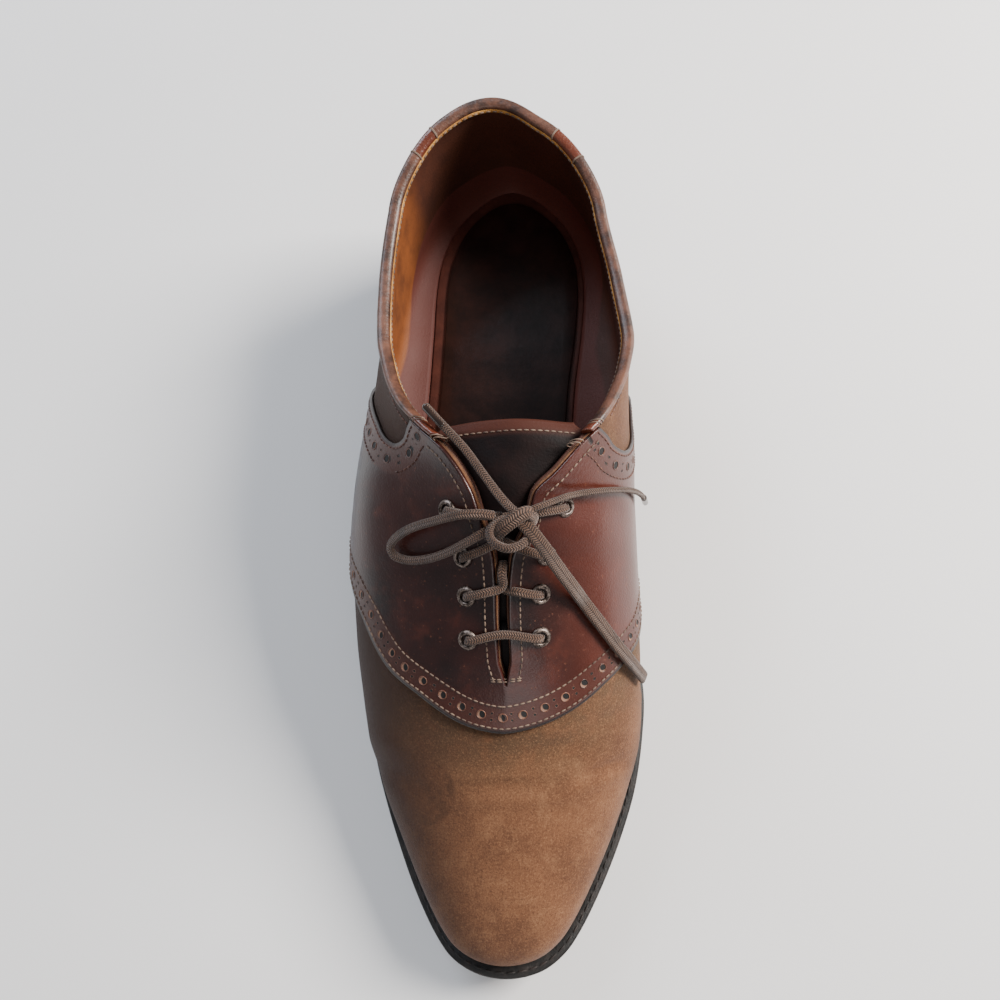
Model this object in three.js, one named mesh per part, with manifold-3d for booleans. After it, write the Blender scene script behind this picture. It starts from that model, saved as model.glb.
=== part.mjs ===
// Saddle shoe, right foot: a smooth leather saddle over a nubuck body, on a welted sole.
// Millimetres, +Z up, toe towards -Y, medial side towards +X, standing on its sole.
import * as THREE from 'three';
import { mergeVertices } from 'three/addons/utils/BufferGeometryUtils.js';
import Module from 'manifold-3d';

// Driving sizes of the sole
const SOLE_LENGTH = 296;
const BALL_WIDTH = 101;
const HEEL_HEIGHT = 23;
const TOP_PIECE = 6;
const TOE_SPRING = 7.5;
const SOLE_THICKNESS = 5.5;
const WELT_THICKNESS = 3;
const INSOLE_THICKNESS = 5;
const HEEL_PAD_THICKNESS = 1.2;
const HEEL_LENGTH = 76;

// Driving sizes of the upper
const INSTEP_HEIGHT = 91;
const COLLAR_HEIGHT = 87;
const UPPER_WALL = 2.2;
const OVERLAY_WALL = 1.2;
const BINDING_HEIGHT = 2.0;
const BINDING_WIDTH = 4.2;
const TONGUE_WALL = 2.0;
const THROAT_GAP = 3.2;
const CLEARANCE = 0.3;

// Facets round the toe, round the heel, up the wall, across the tongue and along the panels' lines
const TOE_TURNS = 14;
const HEEL_TURNS = 10;
const LOWER_ROWS = 2;
const UPPER_ROWS = 7;
const TONGUE_COLUMNS = 8;
const FRONT_POINTS = 11;
const REAR_POINTS = 14;
const COUNTER_POINTS = 9;
const WELT_POINTS = 30;

// Outline of the sole: station from the toe, then each side's reach, as a share of the ball width
const SOLE_OUTLINE = [
  { along: 0.0, lateral: -0.014, medial: 0.014 },
  { along: 0.006, lateral: 0.084, medial: 0.119 },
  { along: 0.022, lateral: 0.169, medial: 0.194 },
  { along: 0.042, lateral: 0.222, medial: 0.244 },
  { along: 0.084, lateral: 0.296, medial: 0.318 },
  { along: 0.137, lateral: 0.366, medial: 0.392 },
  { along: 0.189, lateral: 0.422, medial: 0.447 },
  { along: 0.247, lateral: 0.470, medial: 0.481 },
  { along: 0.304, lateral: 0.494, medial: 0.494 },
  { along: 0.365, lateral: 0.492, medial: 0.464 },
  { along: 0.432, lateral: 0.461, medial: 0.400 },
  { along: 0.500, lateral: 0.411, medial: 0.346 },
  { along: 0.584, lateral: 0.356, medial: 0.318 },
  { along: 0.669, lateral: 0.324, medial: 0.332 },
  { along: 0.753, lateral: 0.310, medial: 0.366 },
  { along: 0.821, lateral: 0.304, medial: 0.380 },
  { along: 0.878, lateral: 0.282, medial: 0.364 },
  { along: 0.934, lateral: 0.218, medial: 0.304 },
  { along: 0.970, lateral: 0.130, medial: 0.218 },
  { along: 0.992, lateral: 0.040, medial: 0.130 },
  { along: 1.0, lateral: -0.046, medial: 0.046 },
];

// Height of the sole's underside: station, share of the toe spring, share of the heel height
const SOLE_BOTTOM = [
  { along: 0.000, spring: 1.00, lift: 0.00 },
  { along: 0.050, spring: 0.60, lift: 0.00 },
  { along: 0.100, spring: 0.26, lift: 0.00 },
  { along: 0.150, spring: 0.06, lift: 0.00 },
  { along: 0.185, spring: 0.00, lift: 0.00 },
  { along: 0.325, spring: 0.00, lift: 0.00 },
  { along: 0.380, spring: 0.00, lift: 0.04 },
  { along: 0.440, spring: 0.00, lift: 0.17 },
  { along: 0.510, spring: 0.00, lift: 0.42 },
  { along: 0.590, spring: 0.00, lift: 0.73 },
  { along: 0.670, spring: 0.00, lift: 0.94 },
  { along: 0.740, spring: 0.00, lift: 1.00 },
  { along: 1.000, spring: 0.00, lift: 1.00 },
];

// Middle line of the last, as a share of the ball width
const SPINE = [
  { along: 0.213, offset: 0.019 },
  { along: 0.304, offset: 0.050 },
  { along: 0.360, offset: 0.050 },
  { along: 0.400, offset: 0.055 },
  { along: 0.430, offset: 0.061 },
  { along: 0.460, offset: 0.064 },
  { along: 0.500, offset: 0.070 },
  { along: 0.560, offset: 0.082 },
  { along: 0.650, offset: 0.074 },
  { along: 0.750, offset: 0.048 },
  { along: 0.838, offset: 0.029 },
];

// Widest part of the wall: reach past the sole's edge (share of the ball width), share of its height
const BULGE = [
  { along: 0.000, lateral: -0.048, medial: -0.048, height: 0.08 },
  { along: 0.137, lateral: -0.038, medial: -0.035, height: 0.12 },
  { along: 0.189, lateral: -0.030, medial: -0.030, height: 0.15 },
  { along: 0.247, lateral: -0.022, medial: -0.014, height: 0.18 },
  { along: 0.304, lateral: -0.018, medial: -0.014, height: 0.20 },
  { along: 0.365, lateral: 0.000, medial: 0.015, height: 0.23 },
  { along: 0.432, lateral: 0.030, medial: 0.068, height: 0.28 },
  { along: 0.500, lateral: 0.060, medial: 0.116, height: 0.32 },
  { along: 0.584, lateral: 0.085, medial: 0.146, height: 0.32 },
  { along: 0.669, lateral: 0.088, medial: 0.136, height: 0.30 },
  { along: 0.753, lateral: 0.068, medial: 0.088, height: 0.26 },
  { along: 0.821, lateral: 0.042, medial: 0.046, height: 0.24 },
  { along: 0.878, lateral: 0.016, medial: 0.020, height: 0.22 },
  { along: 0.939, lateral: -0.012, medial: -0.012, height: 0.22 },
  { along: 1.000, lateral: -0.034, medial: -0.034, height: 0.22 },
];

// Where the wall starts inside the sole's edge, as a share of the ball width
const FEATHER = [
  { along: 0.000, inset: 0.076 },
  { along: 0.200, inset: 0.064 },
  { along: 0.320, inset: 0.054 },
  { along: 0.600, inset: 0.052 },
  { along: 0.820, inset: 0.052 },
  { along: 1.000, inset: 0.060 },
];

// Ridge of the vamp, then edge of the facings and collar: height as a share of the instep height,
// reach from the middle line as a share of the ball width, lean of the wall there in degrees,
// and how much of the binding sits on it
const EDGE = [
  { along: 0.213, height: 0.490, lateral: 0.000, medial: 0.000, lean: 0, bound: 0 },
  { along: 0.258, height: 0.556, lateral: 0.000, medial: 0.000, lean: 3, bound: 0 },
  { along: 0.307, height: 0.648, lateral: 0.000, medial: 0.000, lean: 10, bound: 0 },
  { along: 0.348, height: 0.732, lateral: 0.001, medial: 0.001, lean: 18, bound: 0 },
  { along: 0.389, height: 0.806, lateral: 0.001, medial: 0.001, lean: 24, bound: 0 },
  { along: 0.422, height: 0.862, lateral: 0.008, medial: 0.008, lean: 28, bound: 0 },
  { along: 0.456, height: 0.918, lateral: 0.040, medial: 0.056, lean: 33, bound: 0 },
  { along: 0.482, height: 0.954, lateral: 0.064, medial: 0.074, lean: 38, bound: 0.1 },
  { along: 0.503, height: 0.980, lateral: 0.098, medial: 0.135, lean: 43, bound: 0.4 },
  { along: 0.530, height: 0.998, lateral: 0.160, medial: 0.200, lean: 50, bound: 0.8 },
  { along: 0.557, height: 0.976, lateral: 0.240, medial: 0.262, lean: 58, bound: 1 },
  { along: 0.590, height: 0.930, lateral: 0.314, medial: 0.312, lean: 66, bound: 1 },
  { along: 0.630, height: 0.880, lateral: 0.360, medial: 0.354, lean: 73, bound: 1 },
  { along: 0.680, height: 0.840, lateral: 0.386, medial: 0.384, lean: 78, bound: 1 },
  { along: 0.750, height: 0.824, lateral: 0.376, medial: 0.378, lean: 80, bound: 1 },
  { along: 0.838, height: 0.852, lateral: 0.322, medial: 0.336, lean: 80, bound: 1 },
  { along: 0.900, height: 0.904, lateral: 0.322, medial: 0.336, lean: 80, bound: 1 },
  { along: 0.965, height: 0.956, lateral: 0.322, medial: 0.336, lean: 80, bound: 1 },
];

// Collar round the heel: turn from the side in degrees, reach as a share of the ball width
const COLLAR_BACK = [
  { turn: 0, lateral: 0.338, medial: 0.352 },
  { turn: 30, lateral: 0.326, medial: 0.328 },
  { turn: 60, lateral: 0.334, medial: 0.322 },
  { turn: 90, lateral: 0.369, medial: 0.369 },
];

const TOE_POLE = 0.213;
const HEEL_POLE = 0.838;
const THROAT = 0.307;
const SIDE_STATIONS = [
  0.236, 0.258, 0.283, THROAT, 0.328, 0.348, 0.368, 0.389, 0.422, 0.456, 0.482, 0.503, 0.530,
  0.543, 0.557, 0.590, 0.630, 0.680, 0.720, 0.760, 0.800,
];

// Tongue: half width as a share of the ball width, its crown over the facings' edge as a share
// of the instep height
const TONGUE = [
  { along: 0.288, half: 0.080, crown: 0.000 },
  { along: 0.307, half: 0.120, crown: 0.000 },
  { along: 0.350, half: 0.160, crown: 0.000 },
  { along: 0.389, half: 0.180, crown: 0.002 },
  { along: 0.422, half: 0.195, crown: 0.004 },
  { along: 0.456, half: 0.210, crown: 0.012 },
  { along: 0.482, half: 0.220, crown: 0.022 },
  { along: 0.503, half: 0.228, crown: 0.034 },
  { along: 0.530, half: 0.232, crown: 0.046 },
  { along: 0.548, half: 0.222, crown: 0.052 },
  { along: 0.558, half: 0.196, crown: 0.052 },
];
const TONGUE_DEPTH = 1.0;

// Form of the wall in a plane, as shares: how high it bows below the waist, how high its shoulder
// stands above it, how far its top runs inwards, and the least cosine of its lean
const FOOT_BOW = 0.3;
const SHOULDER = 0.5;
const TOP_HANDLE = 0.5;
const MOST_INWARD = 0.62;
const LEAST_COSINE = 0.35;

// Slope of the toe's round beyond that of the ridge behind it, read over a short step
const TOE_SLOPE = 0.28;
const RIDGE_STEP = 0.004;

// Height of the collar's edge row at the back, as a share of the instep height
const BACK_ROW = 0.956;

// Lines of the saddle and the counter seen from the side: station, height as a share of the instep
const SADDLE_FRONT = {
  lateral: [
    { along: 0.259, height: 0.557 },
    { along: 0.297, height: 0.552 },
    { along: 0.334, height: 0.531 },
    { along: 0.389, height: 0.511 },
    { along: 0.432, height: 0.473 },
    { along: 0.473, height: 0.396 },
    { along: 0.507, height: 0.264 },
    { along: 0.530, height: 0.040 },
  ],
  medial: [
    { along: 0.259, height: 0.557 },
    { along: 0.284, height: 0.538 },
    { along: 0.304, height: 0.516 },
    { along: 0.331, height: 0.468 },
    { along: 0.356, height: 0.401 },
    { along: 0.388, height: 0.330 },
    { along: 0.426, height: 0.242 },
    { along: 0.459, height: 0.154 },
    { along: 0.480, height: 0.040 },
  ],
};
const SADDLE_REAR = {
  lateral: [
    { along: 0.720, height: 0.180 },
    { along: 0.709, height: 0.300 },
    { along: 0.689, height: 0.418 },
    { along: 0.662, height: 0.527 },
    { along: 0.629, height: 0.635 },
    { along: 0.594, height: 0.721 },
    { along: 0.565, height: 0.775 },
    { along: 0.555, height: 0.812 },
    { along: 0.556, height: 0.851 },
    { along: 0.563, height: 0.890 },
    { along: 0.569, height: 0.960 },
  ],
  medial: [
    { along: 0.706, height: 0.180 },
    { along: 0.696, height: 0.264 },
    { along: 0.676, height: 0.385 },
    { along: 0.642, height: 0.484 },
    { along: 0.601, height: 0.571 },
    { along: 0.567, height: 0.665 },
    { along: 0.545, height: 0.770 },
    { along: 0.542, height: 0.854 },
    { along: 0.547, height: 0.903 },
    { along: 0.552, height: 0.980 },
  ],
};
const COUNTER_FRONT = [
  { along: 0.904, height: 1.060 },
  { along: 0.899, height: 0.920 },
  { along: 0.882, height: 0.747 },
  { along: 0.848, height: 0.571 },
  { along: 0.818, height: 0.440 },
  { along: 0.790, height: 0.180 },
];

// Eyelets: station of each pair, and their own sizes
const EYELET_ROWS = [0.475, 0.430, 0.393, 0.352];
const EYELET_INSET = 8.8;
const EYELET_HOLE = 1.9;
const EYELET_BARREL = 2.4;
const EYELET_FLANGE = 3.15;
const EYELET_RISE = 0.8;
const EYELET_SIDES = 8;
const LACE_RADIUS = 1.1;
const BINDING_START = 0.543;
const BINDING_SEAT = 0.7;
const HEEL_PAD_START = 0.55;
const HEEL_PAD_INSET = 4.5;
const HEEL_INSET = 0.5;

// Free runs of the lace, as chosen points in the shoe's frame
const LOOP_LATERAL = [
  [4.6, -12.6, 89.8], [1.8, -12.3, 90.5], [-1.2, -12.2, 90.6], [-4.6, -12.1, 89.8],
  [-8.6, -12.2, 87.9],
  [-12.9, -12.3, 85.0], [-17.4, -12.3, 81.5], [-21.5, -12.4, 77.8], [-25.3, -13.1, 74.1],
  [-28.2, -14.3, 71.1], [-29.4, -15.9, 69.2], [-28.6, -17.9, 68.5], [-26.0, -19.5, 69.0],
  [-22.4, -20.5, 70.6], [-18.2, -20.9, 73.0], [-14.0, -20.9, 76.2], [-9.2, -20.3, 80.0],
  [-4.6, -19.2, 83.8], [-0.9, -18.0, 86.2], [2.0, -16.8, 87.4], [4.5, -15.7, 87.9],
];
const LOOP_MEDIAL = [
  [13.0, -14.9, 89.6], [15.0, -17.1, 89.0], [17.0, -19.5, 87.4], [19.2, -22.2, 84.7],
  [21.5, -25.1, 80.9],
  [24.0, -28.1, 76.4], [26.7, -31.1, 71.6], [29.2, -33.9, 65.4], [32.1, -37.4, 62.0], [34.9, -40.7, 58.4],
  [37.5, -43.9, 54.9], [40.3, -47.1, 51.1], [43.1, -49.9, 46.6], [45.4, -52.1, 41.2], [47.4, -53.9, 35.8],
  [48.8, -55.0, 31.2],
];
const END_LATERAL = [
  [7.9, -8.8, 89.6], [6.8, -7.4, 89.5], [5.4, -5.6, 89.3], [3.9, -3.3, 89.1], [2.4, -1.1, 89.0],
  [0.9, 1.1, 88.9], [-0.5, 3.2, 88.9], [-1.8, 5.2, 89.0], [-3.1, 7.0, 89.2], [-4.4, 8.7, 89.4],
  [-5.7, 10.2, 89.6], [-6.8, 11.5, 89.8], [-7.9, 12.7, 90.0], [-8.9, 13.8, 90.2], [-9.9, 14.9, 90.4],
];
const END_MEDIAL = [
  [13.0, -11.9, 89.3], [15.0, -11.4, 90.1], [17.4, -10.6, 90.2], [19.8, -9.5, 89.4], [22.4, -8.1, 88.0],
  [25.3, -6.4, 85.8], [28.7, -4.6, 82.5], [32.4, -3.4, 80.1], [36.4, -2.1, 77.1], [40.3, -0.8, 73.3],
  [43.9, 0.6, 68.5], [46.6, 1.8, 63.2], [48.6, 2.9, 57.2], [50.1, 3.8, 51.0], [50.8, 4.3, 47.4],
];
const AGLET_LATERAL = [[-10.2, 15.2, 90.5], [-15.3, 21.0, 91.4]];
const AGLET_MEDIAL = [[50.9, 4.4, 46.9], [51.9, 5.2, 38.8]];
const KNOT_CENTRE = [8.6, -13.2, 89.7];
const KNOT_RADII = [3.4, 3.2, 2.6];
const AGLET_RADIUS = 1.0;
const LOOP_MEDIAL_RADIUS = 1.5;
const CROSSINGS = [
  { along: 0.459, drop: 2.0 },
  { along: 0.438, drop: 0 },
  { along: 0.409, drop: 0 },
];
const LACE_SIDES = 8;
const LIP_REACH = 0.6;

// Rings along each run of the lace
const STRAND_STEPS = 9;
const BAR_STEPS = 18;
const LOOP_LATERAL_STEPS = 24;
const LOOP_MEDIAL_STEPS = 14;
const END_LATERAL_STEPS = 7;
const END_MEDIAL_STEPS = 12;

const COLOURS = {
  brass: { color: 0x4a4038, roughness: 0.4, metalness: 0.9 },
  lace: { color: 0x3c2a20, roughness: 0.8, metalness: 0 },
  nubuck: { color: 0x80603f, roughness: 0.9, metalness: 0 },
  saddle: { color: 0x4a2018, roughness: 0.35, metalness: 0 },
  insole: { color: 0x5e2c1e, roughness: 0.5, metalness: 0 },
  edge: { color: 0x1a1614, roughness: 0.4, metalness: 0 },
  rubber: { color: 0x141212, roughness: 0.8, metalness: 0 },
};

const wasm = await Module();
wasm.setup();

// Smooth value of one column at a station, through the rows of a table
function column(table, key, at, from = 'along') {
  const last = table.length - 1;
  if (at <= table[0][from]) {
    return table[0][key];
  }
  if (at >= table[last][from]) {
    return table[last][key];
  }
  let i = 0;
  while (table[i + 1][from] < at) {
    i += 1;
  }
  const slope = (k) => {
    if (k <= 0 || k >= last) {
      return 0;
    }
    const before = (table[k][key] - table[k - 1][key]) / (table[k][from] - table[k - 1][from]);
    const after = (table[k + 1][key] - table[k][key]) / (table[k + 1][from] - table[k][from]);
    return before * after <= 0 ? 0 : (2 * before * after) / (before + after);
  };
  const step = table[i + 1][from] - table[i][from];
  const t = (at - table[i][from]) / step;
  const rise = table[i + 1][key] - table[i][key];
  const a = slope(i) * step;
  const b = slope(i + 1) * step;
  return table[i][key] + t * a + t * t * (3 * rise - 2 * a - b) + t * t * t * (a + b - 2 * rise);
}

const stationY = (along) => (along - 0.5) * SOLE_LENGTH;
const stationOf = (y) => y / SOLE_LENGTH + 0.5;
const spineX = (along) => column(SPINE, 'offset', along) * BALL_WIDTH;
const soleBottom = (along) => column(SOLE_BOTTOM, 'spring', along) * TOE_SPRING
  + column(SOLE_BOTTOM, 'lift', along) * HEEL_HEIGHT;
const weltTop = (along) => soleBottom(along) + SOLE_THICKNESS + CLEARANCE + WELT_THICKNESS;

// Outline of the sole as a closed polyline
const outlineCurve = new THREE.CatmullRomCurve3(
  [
    ...SOLE_OUTLINE.map((row) => new THREE.Vector3(-row.lateral * BALL_WIDTH, stationY(row.along), 0)),
    ...SOLE_OUTLINE.slice(1, -1).reverse()
      .map((row) => new THREE.Vector3(row.medial * BALL_WIDTH, stationY(row.along), 0)),
  ],
  true,
  'centripetal',
);
const outline = outlineCurve.getPoints(600);

// Distance from a point of the middle line to the sole's edge
function reach(ox, oy, dx, dy) {
  let far = 0;
  for (let i = 0; i + 1 < outline.length; i += 1) {
    const ax = outline[i].x - ox;
    const ay = outline[i].y - oy;
    const ex = outline[i + 1].x - outline[i].x;
    const ey = outline[i + 1].y - outline[i].y;
    const det = dx * ey - dy * ex;
    if (Math.abs(det) > 1e-9) {
      const r = (ax * ey - ay * ex) / det;
      const s = (ax * dy - ay * dx) / det;
      if (s >= 0 && s <= 1 && r > far) {
        far = r;
      }
    }
  }
  return far;
}

// One upright plane through the shoe: where it starts, which way it looks, and its sizes
function makePlane(along, side, turn = 0, end = 'side') {
  const angle = THREE.MathUtils.degToRad(turn);
  const ox = spineX(along);
  const oy = stationY(along);
  const dx = (side === 'lateral' ? -1 : 1) * Math.cos(angle);
  const dy = end === 'toe' ? -Math.sin(angle) : Math.sin(angle);
  const sole = reach(ox, oy, dx, dy);
  const at = stationOf(oy + sole * dy);
  const foot = weltTop(at) + CLEARANCE;
  const feather = sole - column(FEATHER, 'inset', at) * BALL_WIDTH;
  const widest = sole + column(BULGE, side, at) * BALL_WIDTH;
  let edge = column(EDGE, side, along) * BALL_WIDTH;
  let lean = column(EDGE, 'lean', along);
  let edgeAt = along;
  if (end === 'heel') {
    edge = column(COLLAR_BACK, side, turn, 'turn') * BALL_WIDTH;
    edgeAt = stationOf(oy + edge * dy);
  }
  if (end === 'toe') {
    const rise = column(EDGE, 'height', TOE_POLE + RIDGE_STEP) - column(EDGE, 'height', TOE_POLE);
    const slope = (rise * INSTEP_HEIGHT) / (RIDGE_STEP * SOLE_LENGTH) + TOE_SLOPE;
    lean = THREE.MathUtils.radToDeg(Math.atan(-slope * dy));
  }
  if (along > THROAT && end === 'side') {
    edge += THROAT_GAP / 2;
  }
  const rim = end === 'heel' || along >= HEEL_POLE
    ? column(EDGE, 'height', edgeAt) * INSTEP_HEIGHT + (COLLAR_HEIGHT - BACK_ROW * INSTEP_HEIGHT)
      * Math.sin(angle)
    : column(EDGE, 'height', along) * INSTEP_HEIGHT;
  const bound = end === 'heel' ? 1 : column(EDGE, 'bound', along);
  const top = rim - bound * (BINDING_HEIGHT + BINDING_SEAT);
  const waist = foot + column(BULGE, 'height', at) * (top - foot);
  return { along, at, ox, oy, dx, dy, sole, foot, feather, widest, waist, edge, top, lean };
}

// Point of the wall in a plane, by its share of the way up
function wallPoint(plane, row) {
  const { feather, foot, widest, waist, edge, top, lean } = plane;
  if (row <= 0) {
    const t = 1 + row;
    const bow = foot + FOOT_BOW * (waist - foot);
    const r = (1 - t) * (1 - t) * feather + 2 * t * (1 - t) * widest + t * t * widest;
    const z = (1 - t) * (1 - t) * foot + 2 * t * (1 - t) * bow + t * t * waist;
    return [r, z];
  }
  const t = row;
  const u = 1 - t;
  const slant = THREE.MathUtils.degToRad(lean);
  const handle = TOP_HANDLE * Math.hypot(widest - edge, top - waist);
  const cosine = Math.max(Math.cos(slant), LEAST_COSINE);
  const reachIn = Math.min(handle, (MOST_INWARD * (widest - edge)) / cosine);
  const r = u * u * u * widest + 3 * u * u * t * widest
    + 3 * u * t * t * (edge + reachIn * Math.cos(slant)) + t * t * t * edge;
  const z = u * u * u * waist + 3 * u * u * t * (waist + SHOULDER * (top - waist))
    + 3 * u * t * t * (top - reachIn * Math.sin(slant)) + t * t * t * top;
  return [r, z];
}

const onPlane = (plane, r, z) => new THREE.Vector3(plane.ox + r * plane.dx, plane.oy + r * plane.dy, z);

// Planes all round, from the toe along the medial side to the heel and back on the lateral side
function planesRound() {
  const sideOf = (side) => SIDE_STATIONS.map((along) => makePlane(along, side));
  const fan = (pole, side, turns, end) => {
    const planes = [];
    for (let i = 0; i <= turns / 2; i += 1) {
      planes.push(makePlane(pole, side, (180 * i) / turns, end));
    }
    return planes;
  };
  const toeMedial = fan(TOE_POLE, 'medial', TOE_TURNS, 'toe').reverse();
  const toeLateral = fan(TOE_POLE, 'lateral', TOE_TURNS, 'toe');
  const heelMedial = fan(HEEL_POLE, 'medial', HEEL_TURNS, 'heel');
  const heelLateral = fan(HEEL_POLE, 'lateral', HEEL_TURNS, 'heel').reverse();
  return [
    ...toeMedial,
    ...sideOf('medial'),
    ...heelMedial,
    ...heelLateral.slice(1),
    ...sideOf('lateral').reverse(),
    ...toeLateral.slice(0, -1),
  ];
}

const PLANES = planesRound();

// Indexed mesh helpers: welded positions and triangles
function weld(positions, triangles) {
  const geometry = new THREE.BufferGeometry();
  const values = positions.flatMap((p) => [p.x, p.y, p.z]);
  geometry.setAttribute('position', new THREE.Float32BufferAttribute(values, 3));
  geometry.setIndex(triangles.flat());
  const merged = mergeVertices(geometry, 1e-3);
  const index = merged.getIndex().array;
  const kept = [];
  for (let i = 0; i < index.length; i += 3) {
    const [a, b, c] = [index[i], index[i + 1], index[i + 2]];
    if (a !== b && b !== c && a !== c) {
      kept.push(a, b, c);
    }
  }
  merged.setIndex(kept);
  return merged;
}

// Closed sheet between two offsets of one open surface
function thicken(surface, inner, outer) {
  surface.computeVertexNormals();
  const position = surface.getAttribute('position');
  const normal = surface.getAttribute('normal');
  const index = Array.from(surface.getIndex().array);
  const count = position.count;
  const points = [];
  for (const offset of [outer, inner]) {
    for (let i = 0; i < count; i += 1) {
      const p = new THREE.Vector3().fromBufferAttribute(position, i);
      const n = new THREE.Vector3().fromBufferAttribute(normal, i);
      points.push(p.addScaledVector(n, offset));
    }
  }
  const triangles = [];
  const edges = new Map();
  for (let i = 0; i < index.length; i += 3) {
    const [a, b, c] = [index[i], index[i + 1], index[i + 2]];
    triangles.push([a, b, c], [a + count, c + count, b + count]);
    for (const [p, q] of [[a, b], [b, c], [c, a]]) {
      const back = `${q},${p}`;
      if (edges.has(back)) {
        edges.delete(back);
      } else {
        edges.set(`${p},${q}`, [p, q]);
      }
    }
  }
  for (const [p, q] of edges.values()) {
    triangles.push([q, p, p + count], [q, p + count, q + count]);
  }
  return weld(points, triangles);
}

// Surface of the upper's outside, from the feather edge to its rim
function upperSurface() {
  const rows = [];
  for (let i = 0; i <= LOWER_ROWS; i += 1) {
    rows.push(-1 + i / LOWER_ROWS);
  }
  for (let i = 1; i <= UPPER_ROWS; i += 1) {
    rows.push(i / UPPER_ROWS);
  }
  const points = [];
  for (const plane of PLANES) {
    for (const row of rows) {
      const [r, z] = wallPoint(plane, row);
      points.push(onPlane(plane, r, z));
    }
  }
  const triangles = [];
  const high = rows.length;
  const wide = PLANES.length;
  for (let i = 0; i < wide; i += 1) {
    const j = (i + 1) % wide;
    for (let k = 0; k + 1 < high; k += 1) {
      const a = i * high + k;
      const b = j * high + k;
      triangles.push([a, b, b + 1], [a, b + 1, a + 1]);
    }
  }
  return weld(points, triangles);
}

// Slab that follows the sole: nested outlines from the edge inwards, between two heights
function soleSlab(reaches, lowAt, highAt, planes = PLANES) {
  const count = planes.length;
  const points = [];
  for (const heightAt of [highAt, lowAt]) {
    for (const reachAt of reaches) {
      for (const plane of planes) {
        const r = reachAt(plane);
        const y = plane.oy + r * plane.dy;
        points.push(new THREE.Vector3(plane.ox + r * plane.dx, y, heightAt(stationOf(y))));
      }
    }
  }
  const under = count * reaches.length;
  const triangles = [];
  const bothFaces = (a, b, c) => triangles.push([a, b, c], [a + under, c + under, b + under]);
  for (let i = 0; i < count; i += 1) {
    const j = (i + 1) % count;
    triangles.push([i, i + under, j], [j, i + under, j + under]);
    for (let ring = 0; ring + 1 < reaches.length; ring += 1) {
      const a = ring * count;
      bothFaces(a + i, a + j, a + count + j);
      bothFaces(a + i, a + count + j, a + count + i);
    }
  }
  const inner = (reaches.length - 1) * count;
  let low = 0;
  let high = count - 1;
  while (low + 1 < high) {
    bothFaces(inner + low, inner + low + 1, inner + high);
    low += 1;
    if (low + 1 < high) {
      bothFaces(inner + low, inner + high - 1, inner + high);
      high -= 1;
    }
  }
  return weld(points, triangles);
}

// Ring between two insets of the sole's outline
function soleRing(outerAt, innerAt, lowAt, highAt) {
  const points = [];
  const triangles = [];
  const count = PLANES.length;
  const corners = [[innerAt, lowAt], [outerAt, lowAt], [outerAt, highAt], [innerAt, highAt]];
  for (const plane of PLANES) {
    for (const [radiusAt, heightAt] of corners) {
      const r = radiusAt(plane);
      const y = plane.oy + r * plane.dy;
      points.push(new THREE.Vector3(plane.ox + r * plane.dx, y, heightAt(stationOf(y))));
    }
  }
  for (let i = 0; i < count; i += 1) {
    const j = (i + 1) % count;
    for (let k = 0; k < 4; k += 1) {
      const n = (k + 1) % 4;
      triangles.push([4 * i + k, 4 * j + k, 4 * j + n], [4 * i + k, 4 * j + n, 4 * i + n]);
    }
  }
  return weld(points, triangles);
}

// Height of the upper's underside, deepened by a gap, at a reach inside a plane
function underWall(plane, reachAt, gap) {
  const steps = 40;
  const slip = 0.01;
  let before = null;
  for (let i = 0; i < steps; i += 1) {
    const row = 1 - i / steps;
    const [r, z] = wallPoint(plane, row);
    const [r2, z2] = wallPoint(plane, row - slip);
    const size = Math.hypot(r2 - r, z2 - z);
    const here = [r + (gap * (z2 - z)) / size, z - (gap * (r2 - r)) / size];
    if (here[0] >= reachAt) {
      if (!before) {
        return here[1];
      }
      const t = (reachAt - before[0]) / (here[0] - before[0]);
      return before[1] + t * (here[1] - before[1]);
    }
    before = here;
  }
  return before[1];
}

// Surface of the tongue's top, under the facings and arched across the throat
function tongueSurface() {
  const across = TONGUE_COLUMNS;
  const points = [];
  for (const row of TONGUE) {
    const y = stationY(row.along);
    const half = row.half * BALL_WIDTH;
    const sides = { lateral: makePlane(row.along, 'lateral'), medial: makePlane(row.along, 'medial') };
    for (let i = 0; i <= across; i += 1) {
      const s = (2 * i) / across - 1;
      const plane = s < 0 ? sides.lateral : sides.medial;
      const r = Math.abs(s) * half;
      const gap = UPPER_WALL + TONGUE_DEPTH;
      const lip = Math.min(Math.max(plane.edge, 0.2 * half), 0.9 * half);
      let z;
      if (r >= lip) {
        z = underWall(plane, r, gap);
      } else {
        const share = r / lip;
        z = underWall(plane, lip, gap) + row.crown * INSTEP_HEIGHT * (1 - share * share);
      }
      points.push(new THREE.Vector3(plane.ox + Math.sign(s) * r, y, z));
    }
  }
  const triangles = [];
  for (let j = 0; j + 1 < TONGUE.length; j += 1) {
    for (let i = 0; i < across; i += 1) {
      const a = j * (across + 1) + i;
      const b = a + across + 1;
      triangles.push([a, a + 1, b + 1], [a, b + 1, b]);
    }
  }
  return weld(points, triangles);
}

// Solids for cutting and joining
function toSolid(geometry) {
  const clean = new THREE.BufferGeometry();
  clean.setAttribute('position', geometry.getAttribute('position').clone());
  if (geometry.getIndex()) {
    clean.setIndex(geometry.getIndex().clone());
  }
  const merged = mergeVertices(clean, 1e-4);
  return new wasm.Manifold(new wasm.Mesh({
    numProp: 3,
    vertProperties: new Float32Array(merged.getAttribute('position').array),
    triVerts: new Uint32Array(merged.getIndex().array),
  }));
}

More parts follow.
